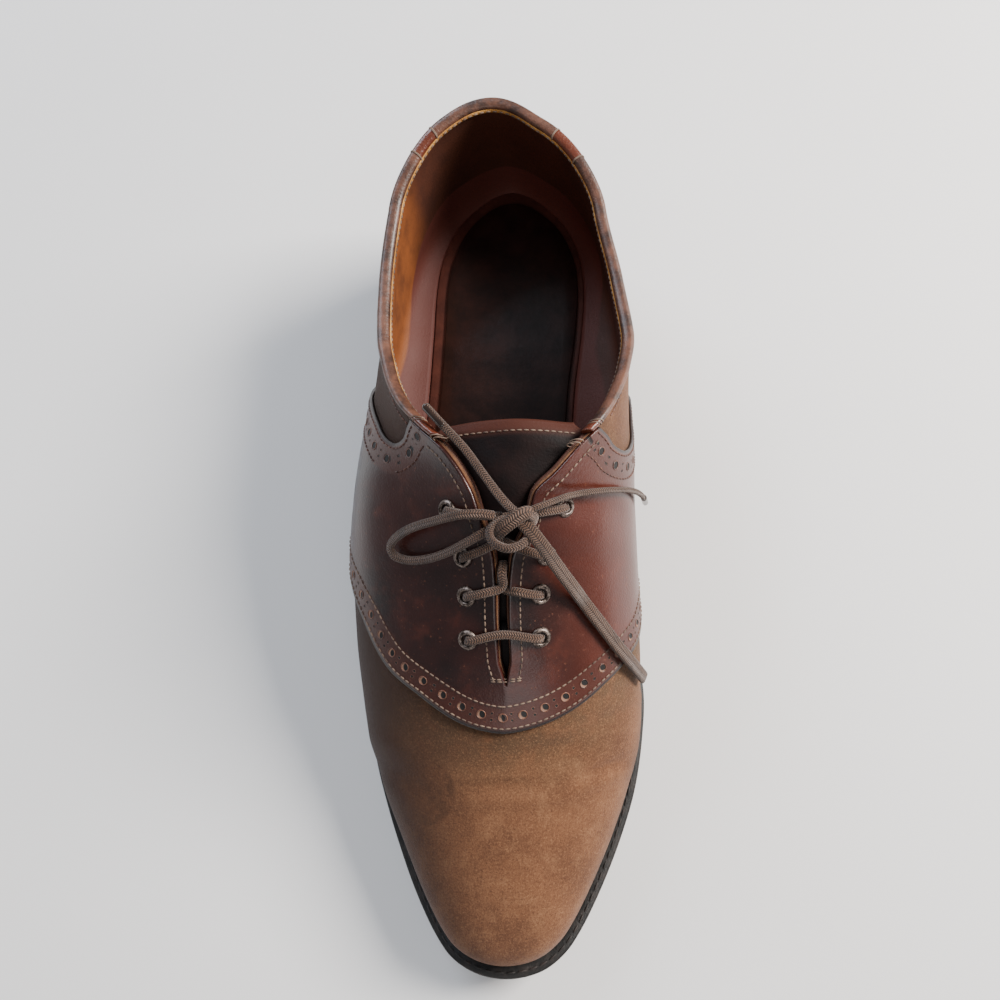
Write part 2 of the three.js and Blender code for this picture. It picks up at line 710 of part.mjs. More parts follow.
function fromSolid(solid) {
  const mesh = solid.getMesh();
  const geometry = new THREE.BufferGeometry();
  geometry.setAttribute('position', new THREE.BufferAttribute(new Float32Array(mesh.vertProperties), 3));
  geometry.setIndex(Array.from(mesh.triVerts));
  return geometry;
}

const group = new THREE.Group();

function addPiece(name, geometry, finish) {
  const flat = geometry.getIndex() ? geometry : mergeVertices(geometry);
  flat.computeVertexNormals();
  const mesh = new THREE.Mesh(flat, new THREE.MeshStandardMaterial(COLOURS[finish]));
  mesh.name = name;
  group.add(mesh);
  return mesh;
}

// Sole, welt, insole
const outsoleTop = (along) => soleBottom(along) + SOLE_THICKNESS;
const onOutsole = (along) => outsoleTop(along) + CLEARANCE;
const soleEdge = (plane) => plane.sole;
const footInside = (plane) => plane.feather - UPPER_WALL - 2 * CLEARANCE;
const insoleEdge = (plane) => footInside(plane) - CLEARANCE;
const insoleTop = (along) => onOutsole(along) + INSOLE_THICKNESS;
addPiece('outsole', soleSlab([soleEdge, footInside, insoleEdge], soleBottom, outsoleTop), 'edge');
addPiece('welt', soleRing(soleEdge, footInside, onOutsole, weltTop), 'edge');
addPiece('insole', soleSlab([insoleEdge], onOutsole, insoleTop), 'insole');

addPiece('tongue', thicken(tongueSurface(), -TONGUE_WALL, 0), 'saddle');

// Heel: the planes behind the breast, closed by a straight front
const breast = stationOf(SOLE_LENGTH / 2 - HEEL_LENGTH);
const heelPlanes = PLANES.filter((plane) => plane.along >= breast);
const heelEdge = (plane) => plane.sole - HEEL_INSET;
const heelTop = (along) => soleBottom(along) - CLEARANCE;
addPiece('heel_stack', soleSlab([heelEdge], () => TOP_PIECE + CLEARANCE, heelTop, heelPlanes), 'edge');
addPiece('heel_top_piece', soleSlab([heelEdge], () => 0, () => TOP_PIECE, heelPlanes), 'rubber');

const padPlanes = PLANES.filter((plane) => plane.along >= HEEL_PAD_START);
const padBottom = (along) => insoleTop(along) + CLEARANCE;
const padTop = (along) => padBottom(along) + HEEL_PAD_THICKNESS;
const padEdge = (plane) => insoleEdge(plane) - HEEL_PAD_INSET;
addPiece('heel_pad', soleSlab([padEdge], padBottom, padTop, padPlanes), 'insole');

// Prism across the shoe from an outline seen from the side
function sidePrism(rim, from, to) {
  const shape = new THREE.Shape(rim.map((p) => new THREE.Vector2(p.x, p.y)));
  const geometry = new THREE.ExtrudeGeometry(shape, { depth: to - from, bevelEnabled: false });
  geometry.translate(0, 0, from);
  const across = new THREE.Matrix4().makeBasis(
    new THREE.Vector3(0, 1, 0),
    new THREE.Vector3(0, 0, 1),
    new THREE.Vector3(1, 0, 0),
  );
  geometry.applyMatrix4(across);
  geometry.deleteAttribute('normal');
  geometry.deleteAttribute('uv');
  return toSolid(geometry);
}

function sideLine(rows, points) {
  const line = rows.map((row) => new THREE.Vector2(stationY(row.along), row.height * INSTEP_HEIGHT));
  return new THREE.SplineCurve(line).getPoints(points);
}

// Overlays: slices of the sheet that lies on the upper's outside
const overlaySheet = toSolid(thicken(upperSurface(), CLEARANCE, CLEARANCE + OVERLAY_WALL));
const REACH_OUT = BALL_WIDTH;
const ABOVE = 2 * INSTEP_HEIGHT;
const weltLine = [];
for (let i = 0; i <= WELT_POINTS; i += 1) {
  const along = i / WELT_POINTS;
  weltLine.push(new THREE.Vector2(stationY(along), weltTop(along) + 2 * CLEARANCE));
}
const underWelt = sidePrism([
  new THREE.Vector2(stationY(0), -ABOVE),
  new THREE.Vector2(stationY(1), -ABOVE),
  ...weltLine.reverse(),
], -REACH_OUT, REACH_OUT);

function saddleHalf(side, from, to) {
  const front = sideLine(SADDLE_FRONT[side], FRONT_POINTS);
  const rear = sideLine(SADDLE_REAR[side], REAR_POINTS);
  const rim = [
    new THREE.Vector2(front[0].x, ABOVE),
    ...front,
    ...rear,
    new THREE.Vector2(rear[rear.length - 1].x, ABOVE),
  ];
  return overlaySheet.intersect(sidePrism(rim, from, to));
}

const middle = spineX(THROAT);
const saddleSheet = saddleHalf('lateral', -REACH_OUT, middle + CLEARANCE)
  .add(saddleHalf('medial', middle - CLEARANCE, REACH_OUT))
  .subtract(underWelt);

const counterLine = sideLine(COUNTER_FRONT, COUNTER_POINTS);
const counterSheet = overlaySheet.intersect(sidePrism([
  ...counterLine,
  new THREE.Vector2(SOLE_LENGTH, counterLine[counterLine.length - 1].y),
  new THREE.Vector2(SOLE_LENGTH, counterLine[0].y),
], -REACH_OUT, REACH_OUT)).subtract(underWelt);

// Point and outward direction of the wall at a station and a reach inside the edge
function wallFrame(along, side, reachAt) {
  const plane = makePlane(along, side);
  let low = 0;
  let high = 1;
  for (let i = 0; i < 40; i += 1) {
    const half = (low + high) / 2;
    if (wallPoint(plane, half)[0] > reachAt) {
      low = half;
    } else {
      high = half;
    }
  }
  const slip = 0.004;
  const at = (p, row) => onPlane(p, ...wallPoint(p, row));
  const point = at(plane, low);
  const up = at(plane, low + slip).sub(point);
  const back = at(makePlane(along + slip, side), low).sub(point);
  const normal = side === 'medial' ? back.cross(up) : up.cross(back);
  return { point, normal: normal.normalize() };
}

const eyelets = [];
for (const side of ['lateral', 'medial']) {
  EYELET_ROWS.forEach((along, i) => {
    const edge = makePlane(along, side).edge;
    const frame = wallFrame(along, side, edge + EYELET_INSET);
    eyelets.push({ name: `eyelet_${side}_${i + 1}`, side, row: i, ...frame });
  });
}

function placedAt(geometry, frame) {
  const turn = new THREE.Quaternion().setFromUnitVectors(new THREE.Vector3(0, 1, 0), frame.normal);
  geometry.applyQuaternion(turn);
  geometry.translate(frame.point.x, frame.point.y, frame.point.z);
  return geometry;
}

let upperSolid = toSolid(thicken(upperSurface(), -UPPER_WALL, 0));
let saddleSolid = saddleSheet;
const seat = 2 * CLEARANCE + OVERLAY_WALL;
for (const eyelet of eyelets) {
  const drill = new THREE.CylinderGeometry(
    EYELET_BARREL + CLEARANCE,
    EYELET_BARREL + CLEARANCE,
    4 * UPPER_WALL,
    EYELET_SIDES,
  );
  drill.deleteAttribute('normal');
  drill.deleteAttribute('uv');
  const hole = toSolid(placedAt(drill, eyelet));
  upperSolid = upperSolid.subtract(hole);
  saddleSolid = saddleSolid.subtract(hole);
}
addPiece('upper', fromSolid(upperSolid), 'nubuck');
addPiece('saddle', fromSolid(saddleSolid), 'saddle');
addPiece('heel_counter', fromSolid(counterSheet), 'saddle');

for (const eyelet of eyelets) {
  const profile = [
    [EYELET_HOLE, -UPPER_WALL],
    [EYELET_BARREL, -UPPER_WALL],
    [EYELET_BARREL, seat],
    [EYELET_FLANGE, seat],
    [EYELET_FLANGE, seat + 0.6 * EYELET_RISE],
    [EYELET_HOLE, seat + EYELET_RISE],
    [EYELET_HOLE, -UPPER_WALL],
  ].map(([r, z]) => new THREE.Vector2(r, z));
  const ring = new THREE.LatheGeometry(profile, EYELET_SIDES);
  ring.deleteAttribute('normal');
  ring.deleteAttribute('uv');
  addPiece(eyelet.name, mergeVertices(placedAt(ring, eyelet), 1e-4), 'brass');
}

// Binding: a rounded strip that sits on the rim, from one facing round the heel to the other
const bindingPlanes = PLANES.filter((plane) => plane.along >= BINDING_START);
const BINDING_SECTION = [
  { across: 0.5, up: 0.00 },
  { across: 0.5, up: 0.60 },
  { across: 0.3, up: 1.00 },
  { across: -0.3, up: 1.00 },
  { across: -0.5, up: 0.60 },
  { across: -0.5, up: 0.00 },
];

function bindingGeometry() {
  const points = [];
  const triangles = [];
  const sides = BINDING_SECTION.length;
  const centre = (CLEARANCE + OVERLAY_WALL - UPPER_WALL) / 2;
  for (const plane of bindingPlanes) {
    const lean = THREE.MathUtils.degToRad(plane.lean);
    for (const corner of BINDING_SECTION) {
      const n = centre + corner.across * BINDING_WIDTH;
      const t = BINDING_SEAT + corner.up * BINDING_HEIGHT;
      const r = plane.edge + n * Math.sin(lean) - t * Math.cos(lean);
      const z = plane.top + n * Math.cos(lean) + t * Math.sin(lean);
      points.push(onPlane(plane, r, z));
    }
  }
  const count = bindingPlanes.length;
  for (let i = 0; i + 1 < count; i += 1) {
    for (let k = 0; k < sides; k += 1) {
      const n = (k + 1) % sides;
      const a = i * sides;
      const b = a + sides;
      triangles.push([a + k, b + k, b + n], [a + k, b + n, a + n]);
    }
  }
  for (let k = 1; k + 1 < sides; k += 1) {
    const b = (count - 1) * sides;
    triangles.push([0, k, k + 1], [b, b + k + 1, b + k]);
  }
  return weld(points, triangles);
}
addPiece('collar_binding', bindingGeometry(), 'saddle');

// Lace: tubes along smooth lines
function tube(points, radius, steps) {
  const section = new THREE.Shape();
  for (let i = 0; i < LACE_SIDES; i += 1) {
    const turn = (2 * Math.PI * (i + 0.5)) / LACE_SIDES;
    const corner = [radius * Math.cos(turn), radius * Math.sin(turn)];
    if (i === 0) {
      section.moveTo(...corner);
    } else {
      section.lineTo(...corner);
    }
  }
  section.closePath();
  const path = new THREE.CatmullRomCurve3(points.map((p) => new THREE.Vector3(...p)), false, 'centripetal');
  const geometry = new THREE.ExtrudeGeometry(section, { steps, extrudePath: path });
  geometry.deleteAttribute('normal');
  geometry.deleteAttribute('uv');
  return mergeVertices(geometry, 1e-4);
}

const overFlange = seat + EYELET_RISE + LACE_RADIUS + CLEARANCE;

// Height of the lace's middle where it crosses the throat
function crossPoint(along, drop) {
  const plane = makePlane(along, 'lateral');
  const rise = seat + LACE_RADIUS + CLEARANCE - drop;
  return new THREE.Vector3(plane.ox, plane.oy, plane.top + rise);
}

// Lace from inside an eyelet, up over its flange, across the facing's edge and on to a point
function strand(eyelet, target, meetAt) {
  const { point, normal, side } = eyelet;
  const halfway = (EYELET_ROWS[eyelet.row] + meetAt) / 2;
  const reachAt = makePlane(halfway, side).edge + LIP_REACH;
  const lip = wallFrame(halfway, side, reachAt);
  const way = target.clone().sub(point);
  way.addScaledVector(normal, -way.dot(normal)).normalize();
  const spot = (n, along) => point.clone().addScaledVector(normal, n).addScaledVector(way, along);
  return [
    spot(0.2 * overFlange, 0),
    spot(0.6 * overFlange, 0),
    spot(overFlange, 1.6 * LACE_RADIUS),
    lip.point.addScaledVector(lip.normal, seat + LACE_RADIUS + CLEARANCE),
    target,
  ].map((p) => p.toArray());
}

const eyeletAt = (side, row) => eyelets.find((eyelet) => eyelet.side === side && eyelet.row === row);
CROSSINGS.forEach(({ along, drop }, row) => {
  const meet = crossPoint(along, drop);
  const halves = ['lateral', 'medial'].map((side) => (
    toSolid(tube(strand(eyeletAt(side, row), meet, along), LACE_RADIUS, STRAND_STEPS))
  ));
  addPiece(`lace_cross_${row + 1}`, fromSolid(halves[0].add(halves[1])), 'lace');
});
const last = EYELET_ROWS.length - 1;
const barMiddle = crossPoint(EYELET_ROWS[last], 0);
const barEnds = ['lateral', 'medial'].map((side) => (
  strand(eyeletAt(side, last), barMiddle, EYELET_ROWS[last])
));
const barPoints = [...barEnds[0], ...barEnds[1].slice(0, -1).reverse()];
addPiece('lace_bar', tube(barPoints, LACE_RADIUS, BAR_STEPS), 'lace');

addPiece('lace_loop_lateral', tube(LOOP_LATERAL, LACE_RADIUS, LOOP_LATERAL_STEPS), 'lace');
addPiece('lace_loop_medial', tube(LOOP_MEDIAL, LOOP_MEDIAL_RADIUS, LOOP_MEDIAL_STEPS), 'lace');
addPiece('lace_end_lateral', tube(END_LATERAL, LACE_RADIUS, END_LATERAL_STEPS), 'lace');
addPiece('lace_end_medial', tube(END_MEDIAL, LACE_RADIUS, END_MEDIAL_STEPS), 'lace');
addPiece('aglet_lateral', tube(AGLET_LATERAL, AGLET_RADIUS, 1), 'brass');
addPiece('aglet_medial', tube(AGLET_MEDIAL, AGLET_RADIUS, 1), 'brass');

// Knot: a flattened ball
const knot = new THREE.SphereGeometry(1, 12, 8);
knot.scale(...KNOT_RADII);
knot.translate(...KNOT_CENTRE);
knot.deleteAttribute('normal');
knot.deleteAttribute('uv');
addPiece('lace_knot', weld(
  Array.from({ length: knot.getAttribute('position').count }, (_, i) => (
    new THREE.Vector3().fromBufferAttribute(knot.getAttribute('position'), i)
  )),
  Array.from({ length: knot.getIndex().count / 3 }, (_, i) => (
    [0, 1, 2].map((k) => knot.getIndex().getX(3 * i + k))
  )),
), 'lace');

group.updateMatrixWorld(true);
export default group;
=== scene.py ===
"""Looks of a saddle shoe for the right foot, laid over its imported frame.

Metres, +Z up, toe towards -Y, medial side towards +X, standing on its sole.
"""

import logging
import math
from dataclasses import dataclass
from enum import StrEnum
from typing import Callable, Sequence

import bpy
import numpy as np
from mathutils import Matrix, Vector
from mathutils.bvhtree import BVHTree


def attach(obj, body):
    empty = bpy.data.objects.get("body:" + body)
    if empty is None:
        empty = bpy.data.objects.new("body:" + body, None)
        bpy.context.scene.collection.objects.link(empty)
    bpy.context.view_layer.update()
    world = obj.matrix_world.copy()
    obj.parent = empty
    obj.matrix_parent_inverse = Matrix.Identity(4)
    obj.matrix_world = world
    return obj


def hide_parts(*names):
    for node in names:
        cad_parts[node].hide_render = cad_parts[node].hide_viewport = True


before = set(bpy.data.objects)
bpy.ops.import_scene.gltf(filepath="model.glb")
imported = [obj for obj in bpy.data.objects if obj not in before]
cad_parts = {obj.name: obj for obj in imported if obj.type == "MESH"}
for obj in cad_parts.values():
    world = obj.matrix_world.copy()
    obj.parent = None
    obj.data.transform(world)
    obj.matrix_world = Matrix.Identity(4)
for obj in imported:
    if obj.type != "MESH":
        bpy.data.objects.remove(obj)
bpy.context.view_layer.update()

log = logging.getLogger("shoe")


class Side(StrEnum):
    """Side of the shoe: away from the other foot, or towards it."""

    LATERAL = "lateral"
    MEDIAL = "medial"


SIDES = (Side.LATERAL, Side.MEDIAL)


def table(names: str, *rows: Sequence[float]) -> dict[str, np.ndarray]:
    """Make a table with named columns.

    Args:
        names: The names of the columns, with spaces between them.
        rows: One value for each column.

    Returns:
        Each column by its name.
    """
    return dict(zip(names.split(), np.array(rows, dtype=float).T))


# Driving sizes of the sole and of the upper
SOLE_LENGTH = 0.296
BALL_WIDTH = 0.101
HEEL_HEIGHT = 0.023
TOP_PIECE = 0.006
TOE_SPRING = 0.0075
SOLE_THICKNESS = 0.0055
WELT_THICKNESS = 0.003
INSOLE_THICKNESS = 0.005
HEEL_PAD_THICKNESS = 0.0012
HEEL_LENGTH = 0.076
INSTEP_HEIGHT = 0.091
COLLAR_HEIGHT = 0.087
UPPER_WALL = 0.0022
OVERLAY_WALL = 0.0012
BINDING_HEIGHT = 0.002
BINDING_WIDTH = 0.0042
BINDING_SEAT = 0.0007
TONGUE_WALL = 0.002
TONGUE_DEPTH = 0.001
THROAT_GAP = 0.0032
CLEARANCE = 0.0003

# Places along the shoe, as shares of its length from the toe
TOE_POLE = 0.213
HEEL_POLE = 0.838
THROAT = 0.307
HEEL_PAD_START = 0.55
HEEL_PAD_INSET = 0.0045
BINDING_START = 0.543

# Walks at which a thread is wound round the binding, in pairs round each worn stretch
BINDING_MARKS = {
    Side.LATERAL: ((1.523, 1.561), (2.394, 2.578)),
    Side.MEDIAL: ((1.507, 1.545), (2.329, 2.548)),
}

# Outline of the sole: station, then each side's reach as a share of the ball width
SOLE_OUTLINE = table(
    "along lateral medial",
    (0, -0.014, 0.014), (0.006, 0.084, 0.119), (0.022, 0.169, 0.194), (0.042, 0.222, 0.244),
    (0.084, 0.296, 0.318), (0.137, 0.366, 0.392), (0.189, 0.422, 0.447), (0.247, 0.47, 0.481),
    (0.304, 0.494, 0.494), (0.365, 0.492, 0.464), (0.432, 0.461, 0.4), (0.5, 0.411, 0.346),
    (0.584, 0.356, 0.318), (0.669, 0.324, 0.332), (0.753, 0.31, 0.366), (0.821, 0.304, 0.38),
    (0.878, 0.282, 0.364), (0.934, 0.218, 0.304), (0.97, 0.13, 0.218), (0.992, 0.04, 0.13),
    (1, -0.046, 0.046),
)

# Underside of the sole: share of the toe spring and of the heel height
SOLE_BOTTOM = table(
    "along spring lift",
    (0, 1, 0), (0.05, 0.6, 0), (0.1, 0.26, 0), (0.15, 0.06, 0),
    (0.185, 0, 0), (0.325, 0, 0), (0.38, 0, 0.04), (0.44, 0, 0.17),
    (0.51, 0, 0.42), (0.59, 0, 0.73), (0.67, 0, 0.94), (0.74, 0, 1),
    (1, 0, 1),
)

# Middle line of the last, as a share of the ball width
SPINE = table(
    "along offset",
    (0.213, 0.019), (0.304, 0.05), (0.36, 0.05), (0.4, 0.055), (0.43, 0.061),
    (0.46, 0.064), (0.5, 0.07), (0.56, 0.082), (0.65, 0.074), (0.75, 0.048),
    (0.838, 0.029),
)

# Widest part of the wall: reach past the sole's edge, and its share of the wall's height
BULGE = table(
    "along lateral medial height",
    (0, -0.048, -0.048, 0.08), (0.137, -0.038, -0.035, 0.12), (0.189, -0.03, -0.03, 0.15),
    (0.247, -0.022, -0.014, 0.18), (0.304, -0.018, -0.014, 0.2), (0.365, 0, 0.015, 0.23),
    (0.432, 0.03, 0.068, 0.28), (0.5, 0.06, 0.116, 0.32), (0.584, 0.085, 0.146, 0.32),
    (0.669, 0.088, 0.136, 0.3), (0.753, 0.068, 0.088, 0.26), (0.821, 0.042, 0.046, 0.24),
    (0.878, 0.016, 0.02, 0.22), (0.939, -0.012, -0.012, 0.22), (1, -0.034, -0.034, 0.22),
)

# Where the wall starts inside the sole's edge, as a share of the ball width
FEATHER = table(
    "along inset",
    (0, 0.076), (0.2, 0.064), (0.32, 0.054), (0.6, 0.052), (0.82, 0.052),
    (1, 0.06),
)

# Ridge of the vamp, then edge of the facings and the collar: height as a share of the instep
# height, reach from the middle line as a share of the ball width, lean of the wall there in
# degrees, and how much of the binding sits on it
EDGE = table(
    "along height lateral medial lean bound",
    (0.213, 0.49, 0, 0, 0, 0), (0.258, 0.556, 0, 0, 3, 0),
    (0.307, 0.648, 0, 0, 10, 0), (0.348, 0.732, 0.001, 0.001, 18, 0),
    (0.389, 0.806, 0.001, 0.001, 24, 0), (0.422, 0.862, 0.008, 0.008, 28, 0),
    (0.456, 0.918, 0.04, 0.056, 33, 0), (0.482, 0.954, 0.064, 0.074, 38, 0.1),
    (0.503, 0.98, 0.098, 0.135, 43, 0.4), (0.53, 0.998, 0.16, 0.2, 50, 0.8),
    (0.557, 0.976, 0.24, 0.262, 58, 1), (0.59, 0.93, 0.314, 0.312, 66, 1),
    (0.63, 0.88, 0.36, 0.354, 73, 1), (0.68, 0.84, 0.386, 0.381, 78, 1),
    (0.75, 0.824, 0.373, 0.374, 80, 1), (0.838, 0.852, 0.328, 0.345, 80, 1),
    (0.9, 0.904, 0.3, 0.324, 80, 1), (0.965, 0.956, 0.273, 0.302, 80, 1),
)

# Collar round the heel: turn from the side in degrees, reach as a share of the ball width
COLLAR_BACK = table(
    "turn lateral medial",
    (-30, 0.364, 0.388), (0, 0.344, 0.361), (30, 0.326, 0.336), (60, 0.337, 0.331),
    (90, 0.363, 0.363),
)

# Tongue: half width as a share of the ball width, crown as a share of the instep height
TONGUE = table(
    "along half crown",
    (0.288, 0.08, 0), (0.307, 0.12, 0), (0.35, 0.16, 0), (0.389, 0.18, 0.002),
    (0.422, 0.195, 0.004), (0.456, 0.21, 0.012), (0.482, 0.22, 0.022), (0.503, 0.228, 0.034),
    (0.53, 0.232, 0.046), (0.548, 0.222, 0.052), (0.558, 0.196, 0.052),
)

# Lines of the saddle and the counter seen from the side: station, share of the instep height
SADDLE_FRONT = {
    Side.LATERAL: table(
        "along height",
        (0.259, 0.557), (0.297, 0.552), (0.334, 0.531), (0.389, 0.511), (0.432, 0.473),
        (0.473, 0.396), (0.507, 0.264), (0.53, 0.04),
    ),
    Side.MEDIAL: table(
        "along height",
        (0.259, 0.557), (0.284, 0.538), (0.304, 0.516), (0.331, 0.468), (0.356, 0.401),
        (0.388, 0.33), (0.426, 0.242), (0.459, 0.154), (0.48, 0.04),
    ),
}
SADDLE_REAR = {
    Side.LATERAL: table(
        "along height",
        (0.72, 0.18), (0.709, 0.3), (0.689, 0.418), (0.662, 0.527), (0.629, 0.635),
        (0.594, 0.721), (0.565, 0.775), (0.555, 0.812), (0.556, 0.851), (0.563, 0.89),
        (0.569, 0.96),
    ),
    Side.MEDIAL: table(
        "along height",
        (0.706, 0.18), (0.696, 0.264), (0.676, 0.385), (0.642, 0.484), (0.601, 0.571),
        (0.567, 0.665), (0.545, 0.77), (0.542, 0.854), (0.547, 0.903), (0.552, 0.98),
    ),
}
COUNTER_FRONT = table(
    "along height",
    (0.904, 1.06), (0.899, 0.92), (0.882, 0.747), (0.848, 0.571), (0.818, 0.44),
    (0.79, 0.18),
)

# Eyelets: station of each pair, and their own sizes
EYELET_ROWS = (0.475, 0.43, 0.393, 0.352)
EYELET_INSET = 0.0088
EYELET_HOLE = 0.0017
EYELET_FLANGE = 0.0032
EYELET_RISE = 0.0009

# Free runs of the lace, as chosen points in the shoe's frame, in metres
LOOP_LATERAL = (
    (0.0046, -0.0126, 0.0898), (0.0018, -0.0123, 0.0905), (-0.0012, -0.0122, 0.0906),
    (-0.0046, -0.0121, 0.0898), (-0.0086, -0.0122, 0.0879), (-0.0129, -0.0123, 0.0850),
    (-0.0174, -0.0123, 0.0815), (-0.0215, -0.0124, 0.0778), (-0.0253, -0.0131, 0.0741),
    (-0.0282, -0.0143, 0.0711), (-0.0294, -0.0159, 0.0692), (-0.0286, -0.0179, 0.0685),
    (-0.0260, -0.0195, 0.0690), (-0.0224, -0.0205, 0.0706), (-0.0182, -0.0209, 0.0730),
    (-0.0140, -0.0209, 0.0762), (-0.0092, -0.0203, 0.0800), (-0.0046, -0.0192, 0.0838),
    (-0.0009, -0.0180, 0.0862), (0.0020, -0.0168, 0.0874), (0.0045, -0.0157, 0.0879),
)
LOOP_MEDIAL = (
    (0.0130, -0.0149, 0.0896), (0.0150, -0.0171, 0.0890), (0.0170, -0.0195, 0.0874),
    (0.0192, -0.0222, 0.0847), (0.0215, -0.0251, 0.0809), (0.0240, -0.0281, 0.0764),
    (0.0267, -0.0311, 0.0716), (0.0292, -0.0339, 0.0654), (0.0321, -0.0374, 0.0620),
    (0.0349, -0.0407, 0.0584), (0.0375, -0.0439, 0.0549), (0.0403, -0.0471, 0.0511),
    (0.0431, -0.0499, 0.0466), (0.0454, -0.0521, 0.0412), (0.0474, -0.0539, 0.0358),
    (0.0488, -0.0550, 0.0312),
)
END_LATERAL = (
    (0.0079, -0.0088, 0.0896), (0.0068, -0.0074, 0.0895), (0.0054, -0.0056, 0.0893),
    (0.0039, -0.0033, 0.0891), (0.0024, -0.0011, 0.0890), (0.0009, 0.0011, 0.0889),
    (-0.0005, 0.0032, 0.0889), (-0.0018, 0.0052, 0.0890), (-0.0031, 0.0070, 0.0892),
    (-0.0044, 0.0087, 0.0894), (-0.0057, 0.0102, 0.0896), (-0.0068, 0.0115, 0.0898),
    (-0.0079, 0.0127, 0.0900), (-0.0089, 0.0138, 0.0902), (-0.0099, 0.0149, 0.0904),
)
END_MEDIAL = (
    (0.0130, -0.0119, 0.0893), (0.0150, -0.0114, 0.0901), (0.0174, -0.0106, 0.0902),
    (0.0198, -0.0095, 0.0894), (0.0224, -0.0081, 0.0880), (0.0253, -0.0064, 0.0858),
    (0.0287, -0.0046, 0.0825), (0.0324, -0.0034, 0.0801), (0.0364, -0.0021, 0.0771),
    (0.0403, -0.0008, 0.0733), (0.0439, 0.0006, 0.0685), (0.0466, 0.0018, 0.0632),
    (0.0486, 0.0029, 0.0572), (0.0501, 0.0038, 0.0510), (0.0508, 0.0043, 0.0474),
)
AGLET_LATERAL = ((-0.0102, 0.0152, 0.0905), (-0.0153, 0.0210, 0.0914))
AGLET_MEDIAL = ((0.0509, 0.0044, 0.0469), (0.0519, 0.0052, 0.0388))
KNOT_CENTRE = (0.0086, -0.0132, 0.0897)
KNOT_LEAD = (
    (0.0039, -0.0033, 0.0889), (0.0068, -0.0074, 0.0893), (0.0094, -0.0105, 0.0899),
    (0.0116, -0.0127, 0.0902), (0.0130, -0.0146, 0.0892),
)
KNOT_WRAP = (
    (0.0162, -0.0142, 0.0872), (0.0159, -0.0131, 0.0895), (0.0146, -0.0125, 0.0912),
    (0.0126, -0.0133, 0.0918), (0.0104, -0.0147, 0.0914), (0.0080, -0.0161, 0.0903),
    (0.0061, -0.0171, 0.0886), (0.0053, -0.0173, 0.0868),
)
KNOT_RING = (
    (0.0121, -0.0144, 0.0884), (0.0101, -0.0138, 0.0892), (0.0073, -0.0136, 0.0894),
    (0.0049, -0.0147, 0.0894), (0.0035, -0.0167, 0.0893), (0.0038, -0.0192, 0.0892),
    (0.0059, -0.0213, 0.0891), (0.0090, -0.0222, 0.0888), (0.0117, -0.0214, 0.0884),
    (0.0140, -0.0196, 0.0878),
)
LACE_WIDTH = 0.0027
LACE_DEPTH = 0.0016
FOLDED_WIDTH = 0.0042
FOLDED_DEPTH = 0.0020
CROSSINGS = (0.459, 0.438, 0.409)

# How near two points of one piece lie that are merged, and samples of a lace between its points
MERGE = 2e-6
LACE_SAMPLES = 8


def column(rows: dict[str, np.ndarray], key: str, at, base: str = "along") -> np.ndarray:
    """Read one column of a table at any place, on a smooth curve that never overshoots its rows.

    Args:
        rows: The table.
        key: The column to read.
        at: The places to read it at.
        base: The column that holds the places.

    Returns:
        The column's value at each place.
    """
    x, y = rows[base], rows[key]
    steps = np.diff(x)
    slopes = np.diff(y) / steps
    tangents = np.zeros_like(y)
    before, after = slopes[:-1], slopes[1:]
    same = before * after > 0
    tangents[1:-1][same] = 2 * before[same] * after[same] / (before[same] + after[same])
    at = np.clip(np.asarray(at, dtype=float), x[0], x[-1])
    i = np.clip(np.searchsorted(x, at, side="right") - 1, 0, len(x) - 2)
    t = (at - x[i]) / steps[i]
    rise = y[i + 1] - y[i]
    a = tangents[i] * steps[i]
    b = tangents[i + 1] * steps[i]
    return y[i] + t * a + t * t * (3 * rise - 2 * a - b) + t**3 * (a + b - 2 * rise)


def catmull_rom(points: np.ndarray, per_span: int, closed: bool = False) -> np.ndarray:
    """Run a smooth centripetal curve through points.

    Args:
        points: The points to pass through.
        per_span: How many samples to take between two of them.
        closed: Whether the curve returns to its start.

    Returns:
        The samples along the curve.
    """
    points = np.asarray(points, dtype=float)
    count = len(points)
    spans = count if closed else count - 1
    samples = []
    for k in range(spans):
        p1, p2 = points[k], points[(k + 1) % count]
        p0 = points[k - 1] if closed or k > 0 else 2 * p1 - p2
        p3 = points[(k + 2) % count] if closed or k + 2 < count else 2 * p2 - p1
        pairs = ((p0, p1), (p1, p2), (p2, p3))
        d0, d1, d2 = (max(np.linalg.norm(b - a), 1e-9) ** 0.5 for a, b in pairs)
        m1 = d1 * ((p1 - p0) / d0 - (p2 - p0) / (d0 + d1) + (p2 - p1) / d1)
        m2 = d1 * ((p2 - p1) / d1 - (p3 - p1) / (d1 + d2) + (p3 - p2) / d2)
        for t in np.linspace(0, 1, per_span, endpoint=False):
            samples.append(
                p1 + m1 * t + (3 * (p2 - p1) - 2 * m1 - m2) * t**2 + (2 * (p1 - p2) + m1 + m2) * t**3
            )
    if not closed:
        samples.append(points[-1])
    return np.array(samples)


def station_y(along) -> np.ndarray:
    """Turn a share of the length into a place along the shoe."""
    return (np.asarray(along) - 0.5) * SOLE_LENGTH


def station_of(y) -> np.ndarray:
    """Turn a place along the shoe into a share of its length."""
    return np.asarray(y) / SOLE_LENGTH + 0.5


def sole_bottom(along) -> np.ndarray:
    """Height of the sole's underside at a station."""
    spring = column(SOLE_BOTTOM, "spring", along) * TOE_SPRING
    return spring + column(SOLE_BOTTOM, "lift", along) * HEEL_HEIGHT


def welt_top(along) -> np.ndarray:
    """Height of the welt's upper face at a station."""
    return sole_bottom(along) + SOLE_THICKNESS + CLEARANCE + WELT_THICKNESS


